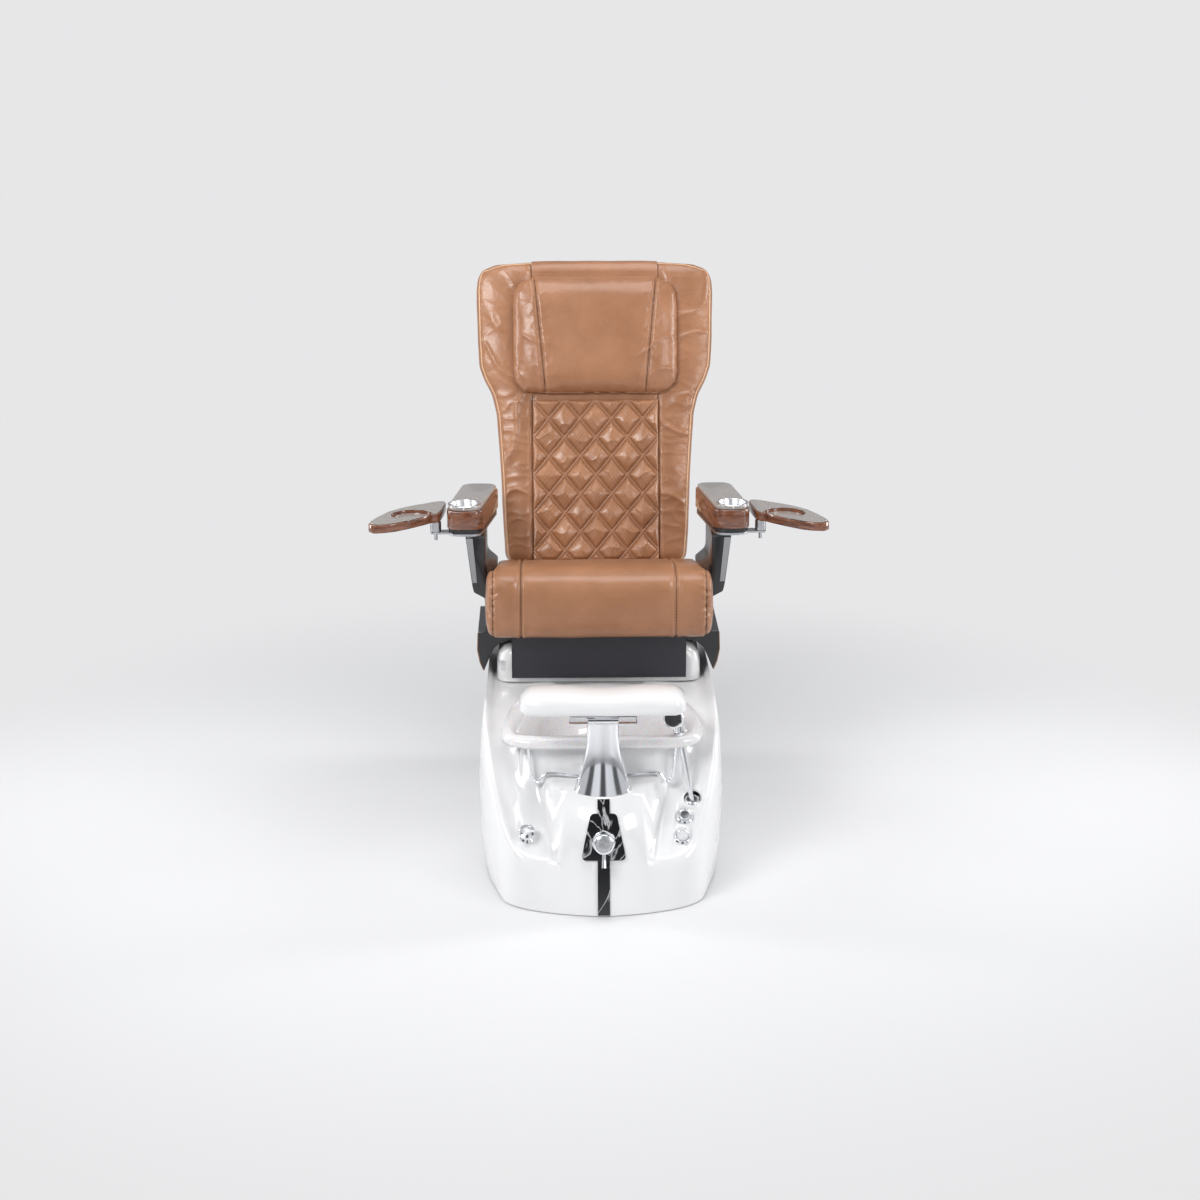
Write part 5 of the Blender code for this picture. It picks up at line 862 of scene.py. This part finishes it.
face_profile = [(0, 0.0062), (0.0215, 0.0062), (0.0215, 0.0072), (0.0200, 0.0080), (0, 0.0086)]
piece_of("sprayer_face", revolved("sprayer_face", face_profile, head_at, head_axis, 64), black_moulding,
         "hand_shower")

steps, levels = 96, 40
foot_z, top_z = 0.3003, 0.4870
work = bmesh.new()
rings = []
for level in range(levels + 1):
    share = level / levels
    flare = (1 - share) ** 2.2
    half = 0.041 + 0.034 * flare + 0.002 * max(0, share - 0.8)
    depth = 0.034 + 0.0225 * flare
    middle = Vector((0, -0.5175 + 0.0055 * share, foot_z + (top_z - foot_z) * share))
    rings.append([work.verts.new(middle + Vector((half * math.cos(2 * math.pi * step / steps),
                                                  depth * math.sin(2 * math.pi * step / steps), 0)))
                  for step in range(steps)])
for low, high in zip(rings, rings[1:]):
    for step in range(steps):
        after = (step + 1) % steps
        work.faces.new((low[step], low[after], high[after], high[step]))
work.faces.new(rings[0][::-1])
work.faces.new(rings[-1])
bmesh.ops.recalc_face_normals(work, faces=work.faces)
trumpet = bpy.data.meshes.new("pedestal_trumpet")
work.to_mesh(trumpet)
work.free()
piece_of("pedestal_trumpet", trumpet, chrome_plate, "base", angle=50, round_over=0.0008,
         stands_for=["pedestal"])

# ---------------------------------------------------------------- push buttons, diverter, marble inlay
# Grey translucent push buttons with a frosted face, a frosted lid on the diverter knob, and a polished
# black marble-look inlay with drifting white veins.

frosted_grey = worn("frosted_grey", (0.42, 0.43, 0.45), 0.32, {"Scale": 330.0}, kind="ShaderNodeTexVoronoi",
                    shade="Distance", coat=0.4, relief=(0.45, 0.0006),
                    tones=((0.0, (0.76, 0.77, 0.79, 1)), (1.0, (0.46, 0.47, 0.49, 1))))
for node in ("jet_button", "drain_button"):
    spun_again(node, frosted_grey)

marble, add, link, shader = shader_of("black_marble", (0.010, 0.010, 0.012), 0.10, coat=0.6)
place = add("ShaderNodeTexCoord")
slanted = put(add, "ShaderNodeMapping", {"Location": (0.37, 0.0, 0.21), "Rotation": (0.0, 0.9, 0.0),
                                         "Scale": (1.0, 1.0, 0.45)})
veins = put(add, "ShaderNodeTexNoise", {"Scale": 11.0, "Detail": 6.0, "Roughness": 0.45,
                                        "Distortion": 1.6})
line = add("ShaderNodeValToRGB")
ramp(line, (0.462, (0.010, 0.010, 0.012, 1)), (0.502, (0.010, 0.010, 0.012, 1)))
vein = line.color_ramp.elements.new(0.483)
vein.color = (0.60, 0.60, 0.62, 1)
wire(link, (place, "Object", slanted, "Vector"), (slanted, "Vector", veins, "Vector"),
     (veins, "Fac", line, "Fac"), (line, "Color", shader, "Base Color"))
smooth_copy("marble_inlay", marble, angle=25, round_over=0.0006)

knob_axis = Vector((0, -0.594843, 0.803842))
knob_at = Vector((-0.1945, -0.541246, 0.182140)) + knob_axis * 0.026
knob_lid = [(0, 0.0001), (0.0138, 0.0001), (0.0138, 0.0005), (0.0128, 0.0010), (0, 0.0012)]
piece_of("diverter_lid", revolved("diverter_lid", knob_lid, knob_at, knob_axis, 64), satin_lid, "diverter")

# ---------------------------------------------------------------- stitching
# Waxed thread in the colour of the leather, in double rows beside each lapped seam and along the
# lines of the quilting. Each stitch is a short thick lens lying in the leather.


def thread_of(name, colour):
    return worn(name, colour, 0.55, {"Scale": 700.0},
                tones=((0.0, (*[share * 0.78 for share in colour], 1)), (1.0, (*colour, 1))))


def stitch_nodes():
    """Stitches of a chosen length, pitch and thickness along every curve that comes in."""
    tree = bpy.data.node_groups.new("stitches", "GeometryNodeTree")
    face = tree.interface
    face.new_socket("Geometry", in_out="INPUT", socket_type="NodeSocketGeometry")
    for name, value in (("Stitch Pitch", 0.0075), ("Stitch Length", 0.0052), ("Thread Thickness", 0.0013)):
        face.new_socket(name, in_out="INPUT", socket_type="NodeSocketFloat").default_value = value
    face.new_socket("Thread", in_out="INPUT", socket_type="NodeSocketMaterial")
    face.new_socket("Geometry", in_out="OUTPUT", socket_type="NodeSocketGeometry")
    add, link = tree.nodes.new, tree.links.new
    source = add("NodeGroupInput")
    end = add("NodeGroupOutput")
    along = put(add, "GeometryNodeCurveToPoints", {}, mode="LENGTH")
    lens = put(add, "GeometryNodeMeshIcoSphere", {"Subdivisions": 2, "Radius": 0.5})
    size = add("ShaderNodeCombineXYZ")
    shaped = add("GeometryNodeTransform")
    placed = add("GeometryNodeInstanceOnPoints")
    real = add("GeometryNodeRealizeInstances")
    dyed = add("GeometryNodeSetMaterial")
    wire(link, (source, "Geometry", along, "Curve"), (source, "Stitch Pitch", along, "Length"),
         (source, "Thread Thickness", size, "X"), (source, "Thread Thickness", size, "Y"),
         (source, "Stitch Length", size, "Z"), (lens, "Mesh", shaped, "Geometry"),
         (size, "Vector", shaped, "Scale"), (along, "Points", placed, "Points"),
         (along, "Rotation", placed, "Rotation"), (shaped, "Geometry", placed, "Instance"),
         (placed, "Instances", real, "Geometry"), (real, "Geometry", dyed, "Geometry"),
         (source, "Thread", dyed, "Material"), (dyed, "Geometry", end, "Geometry"))
    return tree


def lines_object(name, lines, closed=False):
    curve = bpy.data.curves.new(name, "CURVE")
    curve.dimensions = "3D"
    for line in lines:
        spline = curve.splines.new("POLY")
        spline.points.add(len(line) - 1)
        spline.use_cyclic_u = closed
        for point, place in zip(spline.points, line):
            point.co = (*place, 1)
    made = bpy.data.objects.new(name, curve)
    scene.collection.objects.link(made)
    return made


def sewn(name, lines, thread, body, pitch=0.0075, length=0.0052, thickness=0.0013):
    """One mesh of stitches along the lines, made plain."""
    path = lines_object(name + "_path", lines)
    rows_of = path.modifiers.new("stitches", "NODES")
    rows_of.node_group = stitching
    for label, value in (("Stitch Pitch", pitch), ("Stitch Length", length),
                         ("Thread Thickness", thickness),
                         ("Thread", thread)):
        rows_of[stitching.interface.items_tree[label].identifier] = value
    sheet = bpy.data.meshes.new_from_object(path.evaluated_get(bpy.context.evaluated_depsgraph_get()))
    bpy.data.objects.remove(path, do_unlink=True)
    sheet.name = name
    sheet.shade_smooth()
    made = bpy.data.objects.new(name, sheet)
    scene.collection.objects.link(made)
    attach(made, body)
    return made


def tree_of(piece):
    return BVHTree.FromObject(piece, bpy.context.evaluated_depsgraph_get())


def laid(tree, points, towards, lift=0.0002):
    """The points carried along a direction onto a surface."""
    line = []
    for point in points:
        place, normal, _, _ = tree.ray_cast(point - towards * 0.10, towards, 0.25)
        if place is None:
            place, normal, _, _ = tree.find_nearest(point)
        line.append(place + normal * lift)
    return line


def spread(start, end, count):
    return [start + (end - start) * number / (count - 1) for number in range(count)]


stitching = stitch_nodes()
tan_thread = thread_of("tan_thread", (0.62, 0.335, 0.175))

seat_tree = tree_of(seat_cover_piece)


def over_roll(x, front_turn=-62):
    """A line at one x from under the front of the roll, over its top and back along the seat."""
    line = []
    centre = Vector((x, -0.045, 0.665))
    for turn in range(front_turn, 91, 4):
        angle = math.radians(turn)
        towards = -Vector((0, -math.cos(angle), math.sin(angle)))
        line += laid(seat_tree, [centre - towards * 0.08], towards)
    line += laid(seat_tree, [Vector((x, -0.040 + 0.010 * step, 0.80)) for step in range(1, 26)],
                 Vector((0, 0, -1)))
    return line


seat_rows = [over_roll(seam + shift) for seam in (SEAM_LEFT, SEAM_RIGHT) for shift in (-0.0065, 0.0065)]
seat_rows += [over_roll(side * (END_SEAM - 0.0065))[:34] for side in (-1, 1)]
sewn("seat_stitches", seat_rows, tan_thread, "seat", pitch=0.0085, length=0.0060, thickness=0.0014)

quilt_rows = []
for way in (1, -1):
    for turn in range(-9, 10):
        for shift in (-STRIP, STRIP):
            line = []
            for step in range(0, 241):
                up = PANEL_LOW + 0.010 + (PANEL_TOP - PANEL_LOW - 0.018) * step / 240
                across = (turn + 0.5 - way * (up - PANEL_TOP) / DIAMOND_H) * DIAMOND_W
                across += shift / math.sin(quilt_slope)
                if abs(across) < PANEL_HALF - 0.008:
                    line.append(on_back(across, up, 0.0008 + quilt_height(across, up)))
            if len(line) > 4:
                quilt_rows.append(line)
sewn("quilt_stitches", quilt_rows, tan_thread, "backrest", pitch=0.0070, length=0.0050, thickness=0.0012)

back_tree = tree_of(back_cover_piece)
back_rows = []
for side in (-1, 1):
    for offset in (0.0055, 0.0125):
        across = side * (PANEL_HALF + offset)
        back_rows.append(laid(back_tree, spread(on_back(across, 0.050), on_back(across, 0.535), 90),
                              -back_out))
for up in (0.5215, 0.5285):
    back_rows.append(laid(back_tree, spread(on_back(-0.182, up), on_back(0.182, up), 60), -back_out))
sewn("back_stitches", back_rows, tan_thread, "backrest", pitch=0.0080, length=0.0056, thickness=0.0013)

pillow_tree = tree_of(pillow_cover_piece)
pillow_rows = []
for side in (-1, 1):
    for offset in (-0.005, 0.005):
        line = [on_back(side * (pillow_seam_x(up) + offset), up)
                for up in [PILLOW_LOW + 0.012 + 0.010 * step for step in range(32)]]
        pillow_rows.append(laid(pillow_tree, line, -back_out))
sewn("pillow_stitches", pillow_rows, tan_thread, "backrest", pitch=0.0080, length=0.0056, thickness=0.0013)

# ---------------------------------------------------------------- strap over the back, piping
# The pillow's leather strap lies over the top edge of the backrest and is sewn down behind it. A thin
# light piping runs round the front of the backrest, and a darker one round the pillow's lower edge.


def cord_round(name, lines, radius, material, body, closed=False):
    """A round cord of even thickness along the lines."""
    path = lines_object(name + "_path", lines, closed)
    path.data.bevel_depth = radius
    path.data.bevel_resolution = 2
    path.data.use_fill_caps = True
    path.data.materials.append(material)
    sheet = bpy.data.meshes.new_from_object(path.evaluated_get(bpy.context.evaluated_depsgraph_get()))
    bpy.data.objects.remove(path, do_unlink=True)
    sheet.name = name
    sheet.shade_smooth()
    made = bpy.data.objects.new(name, sheet)
    scene.collection.objects.link(made)
    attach(made, body)
    return made


piping_leather = caramel_leather_of("piping_leather", (0.70, 0.44, 0.27), (0.60, 0.36, 0.21), 0.42, 0.1)
PIPE_IN = 0.0125                # how far the piping lies inside the silhouette
right_half = [(half_width(up) - PIPE_IN, up) for up in [0.052 + 0.0085 * step for step in range(98)]]
right_half = [(x, up) for x, up in right_half if up < 0.850]
corner = (half_width(0.850) - PIPE_IN - 0.045, 0.863)
right_half += [(corner[0] + 0.045 * math.cos(math.radians(turn)),
                corner[1] + 0.045 * math.sin(math.radians(turn)))
               for turn in range(0, 91, 10)]
right_half += [(corner[0] * (1 - step / 12), corner[1] + 0.045 + 0.003 * step / 12) for step in range(1,
                                                                                                      13)]
outline = [on_back(x, up) for x, up in right_half] + [on_back(-x, up) for x,
                                                      up in reversed(right_half[:-1])]
fallen = [across_back(point) for point in laid(back_tree, outline, -back_out)]
depths = [sorted(row[2] for row in fallen[max(0,
                                              number - 6):number + 7])[-4] for number in range(len(fallen))]
pipe_line = []
for number, (x, up, _) in enumerate(fallen):
    near = depths[max(0, number - 3):number + 4]
    place, normal, _, _ = back_tree.find_nearest(on_back(x, up, sum(near) / len(near)))
    pipe_line.append(place + normal * 0.0008)
cord_round("back_piping", [pipe_line], 0.0022, piping_leather, "backrest")

pillow_edge = []
for side in (1, -1):
    turns = range(-90, 1, 9) if side == 1 else range(0, -91, -9)
    arc = [(side * (PILLOW_HALF - 0.060 + 0.057 * math.cos(math.radians(turn))),
            PILLOW_LOW + 0.060 + 0.057 * math.sin(math.radians(turn))) for turn in turns]
    pillow_edge.append(arc)
edge_line = [(-x, up) for x, up in pillow_edge[0]][::-1]
edge_line += [(-0.17 + 0.34 * step / 30, PILLOW_LOW + 0.003) for step in range(1, 30)] + pillow_edge[0]
pillow_pipe = [on_back(x, up) for x, up in edge_line]
cord_round("pillow_piping", [laid(pillow_tree, pillow_pipe, -back_out, 0.0002)], 0.0020, pillow_leather,
           "backrest")

# Thin dark cords of seam_shadow leather lie in the lapped seams of the seat, the pillow and the backrest:
# painted shadow in the seam grooves.
seam_shadow = caramel_leather_of("seam_shadow", (0.11, 0.048, 0.022), (0.07, 0.030, 0.014), 0.6, 0.1)
seams = [over_roll(seam) for seam in (SEAM_LEFT,
                                      SEAM_RIGHT)] + [over_roll(side * END_SEAM)[:34] for side in (-1, 1)]
cord_round("seat_seams", seams, 0.0011, seam_shadow, "seat")
seams = []
for side in (-1, 1):
    line = [on_back(side * pillow_seam_x(up),
                    up) for up in [PILLOW_LOW + 0.012 + 0.010 * step for step in range(32)]]
    seams.append(laid(pillow_tree, line, -back_out))
cord_round("pillow_seams", seams, 0.0011, seam_shadow, "backrest")
seams = [laid(back_tree, spread(on_back(side * (PANEL_HALF + 0.0008), 0.050),
                                on_back(side * (PANEL_HALF + 0.0008), 0.535),
                                70), -back_out) for side in (-1, 1)]
cord_round("back_seams", seams, 0.0011, seam_shadow, "backrest")

STRAP_HALF = 0.179
strap_rows = []
for up, proud in ([(PILLOW_TOP - 0.016 + 0.006 * step, 0.02) for step in range(9)]
                  + [(0.918, 0.006), (0.926, -0.004), (0.929, -0.020), (0.929, -0.045), (0.926, -0.066),
                     (0.918, -0.078), (0.895, -0.082)]):
    strap_rows.append([(STRAP_HALF * (2 * step / 24 - 1), up, proud) for step in range(25)])
work = bmesh.new()
outer_rows, inner_rows = [], []
for number, row in enumerate(strap_rows):
    outer, inner = [], []
    for x, up, proud in row:
        point = on_back(x, up, proud)
        place, normal, _, _ = back_tree.find_nearest(point)
        if proud > 0.01:
            hit, out, _, _ = back_tree.ray_cast(on_back(x, up, 0.06), -back_out, 0.2)
            if hit is not None:
                place, normal = hit, out
        inner.append(work.verts.new(place + normal * 0.0006))
        outer.append(work.verts.new(place + normal * 0.0036))
    outer_rows.append(outer)
    inner_rows.append(inner)
for faces in (outer_rows, [row[::-1] for row in inner_rows]):
    for low, high in zip(faces, faces[1:]):
        for one, two, three, four in zip(low, low[1:], high[1:], high):
            work.faces.new((one, two, three, four))
rim_out, rim_in = (rows[0] + [row[-1] for row in rows[1:-1]] + rows[-1][::-1]
                   + [row[0] for row in rows[-2:0:-1]] for rows in (outer_rows, inner_rows))
for number in range(len(rim_out)):
    following = (number + 1) % len(rim_out)
    work.faces.new((rim_out[following], rim_out[number], rim_in[number], rim_in[following]))
bmesh.ops.recalc_face_normals(work, faces=work.faces)
strap_sheet = bpy.data.meshes.new("pillow_strap")
work.to_mesh(strap_sheet)
work.free()
strap_sheet.materials.append(pillow_leather)
strap_sheet.shade_smooth()
strap_sheet.set_sharp_from_angle(angle=math.radians(50))
pillow_strap = bpy.data.objects.new("pillow_strap", strap_sheet)
scene.collection.objects.link(pillow_strap)
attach(pillow_strap, "backrest")
# Dark cords of seam_shadow leather beside the strap's two sides: painted shadow along its edges.
edges = []
for side in (-1, 1):
    edges.append([back_tree.find_nearest(on_back(side * (STRAP_HALF + 0.0012), up, proud))[0]
                  for up, proud in ((0.868, 0.0), (0.880, 0.0), (0.892, 0.0), (0.904, 0.0), (0.912, 0.0),
                                    (0.920, -0.006), (0.926, -0.016))])
cord_round("strap_seams", edges, 0.0016, seam_shadow, "backrest")

# ---------------------------------------------------------------- trim of the arm posts, skirts and flap
# A satin grey strip is glued to the outer edge of each arm post, a tan welt edges each skirt, and the
# vinyl flap has a rolled welt down both sides.

grey_strip = worn("grey_strip", (0.34, 0.35, 0.36), 0.35, {"Scale": 60.0}, metallic=0.4, shine=(0.26, 0.44))
black_vinyl, add, link, shader = shader_of("black_vinyl", (0.022, 0.021, 0.029), 0.34, coat=0.15,
                                           coat_roughness=0.3)
place = add("ShaderNodeTexCoord")
grained = put(add, "ShaderNodeTexVoronoi", {"Scale": 420.0})
swell = put(add, "ShaderNodeTexNoise", {"Scale": 7.0})
fine = put(add, "ShaderNodeBump", {"Strength": 0.25, "Distance": 0.0004})
slow = put(add, "ShaderNodeBump", {"Strength": 0.5, "Distance": 0.006})
wire(link, (place, "Object", grained, "Vector"), (place, "Object", swell, "Vector"),
     (swell, "Fac", slow, "Height"), (grained, "Distance", fine, "Height"),
     (slow, "Normal", fine, "Normal"), (fine, "Normal", shader, "Normal"))
smooth_copy("front_flap", black_vinyl, round_over=0.0008)


def prism(name, outline, near, far):
    """A closed slab of one (x, z) outline between two y values."""
    work = bmesh.new()
    front = [work.verts.new((x, near, z)) for x, z in outline]
    rear = [work.verts.new((x, far, z)) for x, z in outline]
    work.faces.new(front)
    work.faces.new(rear[::-1])
    for number in range(len(outline)):
        after = (number + 1) % len(outline)
        work.faces.new((front[after], front[number], rear[number], rear[after]))
    bmesh.ops.recalc_face_normals(work, faces=work.faces)
    sheet = bpy.data.meshes.new(name)
    work.to_mesh(sheet)
    work.free()
    return sheet


tan_welt = caramel_leather_of("tan_welt", (0.30, 0.17, 0.10), (0.22, 0.12, 0.07), 0.4, 0.1)
for sign, side in ((-1, "left"), (1, "right")):
    strip = [(sign * 0.3300, 0.700), (sign * 0.3422, 0.700), (sign * 0.3582, 0.824), (sign * 0.3405, 0.824)]
    piece_of("post_strip_" + side, prism("post_strip_" + side, strip, -0.0016, 0.0004), grey_strip, "seat",
             round_over=0.0005)
    welt = [Vector((sign * x, -0.0002, z)) for x,
            z in ((0.3300, 0.5560), (0.3318, 0.5080), (0.3253, 0.4730),
                                                        (0.3168, 0.4505), (0.3136, 0.4505))]
    cord_round("skirt_welt_" + side, [welt], 0.0016, tan_welt, "seat")
    edge = [Vector((sign * 0.2364, -0.0513, z)) for z in (0.4440, 0.5050, 0.5655)]
    cord_round("flap_welt_" + side, [edge], 0.0012, black_vinyl, "seat")

# ---------------------------------------------------------------- vents, jet slots, screws and nozzles
# Small repeated parts: moulded vent slots at the front corner of the housing and slots round the jet cover,
# both drawn as dark marks of painted shade; socket-head screws that hold the covers and arms; rubber nozzles
# in the shower's face.


def repeat_nodes():
    """The same small part at the start of each curve, turned to point along it."""
    tree = bpy.data.node_groups.new("small_parts", "GeometryNodeTree")
    face = tree.interface
    face.new_socket("Geometry", in_out="INPUT", socket_type="NodeSocketGeometry")
    face.new_socket("Part", in_out="INPUT", socket_type="NodeSocketObject")
    face.new_socket("Size", in_out="INPUT", socket_type="NodeSocketFloat").default_value = 1.0
    face.new_socket("Finish", in_out="INPUT", socket_type="NodeSocketMaterial")
    face.new_socket("Geometry", in_out="OUTPUT", socket_type="NodeSocketGeometry")
    add, link = tree.nodes.new, tree.links.new
    source = add("NodeGroupInput")
    end = add("NodeGroupOutput")
    start = put(add, "GeometryNodeCurveToPoints", {"Count": 1}, mode="COUNT")
    part = add("GeometryNodeObjectInfo")
    placed = add("GeometryNodeInstanceOnPoints")
    real = add("GeometryNodeRealizeInstances")
    coated = add("GeometryNodeSetMaterial")
    wire(link, (source, "Geometry", start, "Curve"), (source, "Part", part, "Object"),
         (part, "Geometry", placed, "Instance"), (start, "Points", placed, "Points"),
         (start, "Rotation", placed, "Rotation"), (source, "Size", placed, "Scale"),
         (placed, "Instances", real, "Geometry"), (real, "Geometry", coated, "Geometry"),
         (source, "Finish", coated, "Material"), (coated, "Geometry", end, "Geometry"))
    return tree


small_parts = repeat_nodes()


def repeated(name, part_sheet, places, finish, body, size=1.0):
    """One mesh of the part repeated at (point, direction) places."""
    part = bpy.data.objects.new(name + "_part", part_sheet)
    scene.collection.objects.link(part)
    path = lines_object(name + "_path", [(at, at + Vector(way).normalized() * 0.01) for at, way in places])
    rows_of = path.modifiers.new("small_parts", "NODES")
    rows_of.node_group = small_parts
    for label, value in (("Part", part), ("Size", size), ("Finish", finish)):
        rows_of[small_parts.interface.items_tree[label].identifier] = value
    sheet = bpy.data.meshes.new_from_object(path.evaluated_get(bpy.context.evaluated_depsgraph_get()))
    bpy.data.objects.remove(path, do_unlink=True)
    bpy.data.objects.remove(part, do_unlink=True)
    sheet.name = name
    sheet.shade_smooth()
    sheet.set_sharp_from_angle(angle=math.radians(35))
    made = bpy.data.objects.new(name, sheet)
    scene.collection.objects.link(made)
    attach(made, body)
    return made


up = Vector((0, 0, 1))
screw_profile = [(0, 0.0006), (0.0013, 0.0006), (0.0015, 0.0017), (0.0030, 0.0017), (0.0036, 0.0010),
                 (0.0038, -0.0003), (0, -0.0003)]
nozzle_profile = [(0, 0.0009), (0.0005, 0.0008), (0.0008, 0.0004), (0.0009, -0.0002), (0, -0.0002)]
cover_spots = [(Vector((x, 0.4825, z)), (0, 1, 0)) for x in (-0.166, 0.166) for z in (0.099, 0.331)]
repeated("cover_screws", revolved("screw", screw_profile, (0, 0, 0), up, 24), cover_spots, chrome_plate,
         "base")
shell_tree = tree_of(back_shell_piece)
shell_spots = []
for side in (-1, 1):
    for up_back, across in ((0.120, 0.200), (0.420, 0.215), (0.700, 0.262), (0.850, 0.250)):
        spot, normal, _, _ = shell_tree.ray_cast(on_back(side * across, up_back, -0.40), back_out, 0.5)
        shell_spots.append((spot, normal))
repeated("shell_screws", revolved("screw", screw_profile, (0, 0, 0), up, 24), shell_spots, zinc_plate,
         "backrest")
head_side = Vector(head_axis).cross(up).normalized()
head_rise = head_side.cross(Vector(head_axis)).normalized()
nozzle_spots = [(head_at + head_axis * 0.0081, head_axis)]
for count, radius in ((6, 0.0065), (12, 0.0125), (18, 0.0180)):
    for number in range(count):
        turn = 2 * math.pi * number / count
        nozzle_spots.append((head_at + head_axis * (0.0084 - 0.0008 * radius / 0.018)
                             + (head_side * math.cos(turn) + head_rise * math.sin(turn)) * radius, head_axis))
repeated("spray_nozzles", revolved("nozzle", nozzle_profile, (0, 0, 0), up, 12), nozzle_spots, grey_strip,
         "hand_shower", size=1.0)
jet_axis = Vector((0, -0.987688, 0.156434))
jet_at = Vector((0, -0.138414, 0.248095))
jet_side = Vector((1, 0, 0))
jet_rise = jet_side.cross(jet_axis) * -1
spun_again("jet_cover", bronze_cover, angle=45)
slot_sheet = bpy.data.meshes.new("jet_slot")
work = bmesh.new()
bmesh.ops.create_uvsphere(work, u_segments=16, v_segments=8, radius=0.0030)
work.to_mesh(slot_sheet)
work.free()
# The openings round the jet cover are dark sunken ovals of black moulding: painted shade in the openings.
slot_spots = []
for count, radius, lift in ((8, 0.018, 0.0122), (14, 0.032, 0.0112), (20, 0.045, 0.0088)):
    for number in range(count):
        turn = 2 * math.pi * number / count
        slot_spots.append((jet_at + jet_axis * (lift - 0.0016)
                           + (jet_side * math.cos(turn) + jet_rise * math.sin(turn)) * radius, jet_axis))
repeated("jet_openings", slot_sheet, slot_spots, black_moulding, "base")

# The vent slots are grey bars on the housing's face: painted shade in the slots.
vent_slot_shade = worn("vent_slot_shade", (0.30, 0.30, 0.32), 0.5, {"Scale": 80.0},
                  tones=((0.0, (0.26, 0.26, 0.28, 1)), (1.0, (0.36, 0.36, 0.38, 1))))
housing_tree = tree_of(housing_piece)
work = bmesh.new()
for number in range(6):
    x = -0.2735 + 0.0034 * number
    place, normal, _, _ = housing_tree.ray_cast(Vector((x, -0.30, 0.470)), Vector((0, 1, 0)), 0.5)
    across = Vector(normal).cross(up).normalized()
    box = Matrix((across, Vector(normal), up)).transposed().to_4x4()
    bmesh.ops.create_cube(work, size=1.0, matrix=Matrix.Translation(place) @ box
                          @ Matrix.Diagonal((0.0011, 0.0008, 0.030, 1)))
vents = bpy.data.meshes.new("housing_vents")
work.to_mesh(vents)
work.free()
piece_of("housing_vents", vents, vent_slot_shade, "base", round_over=0.0002)
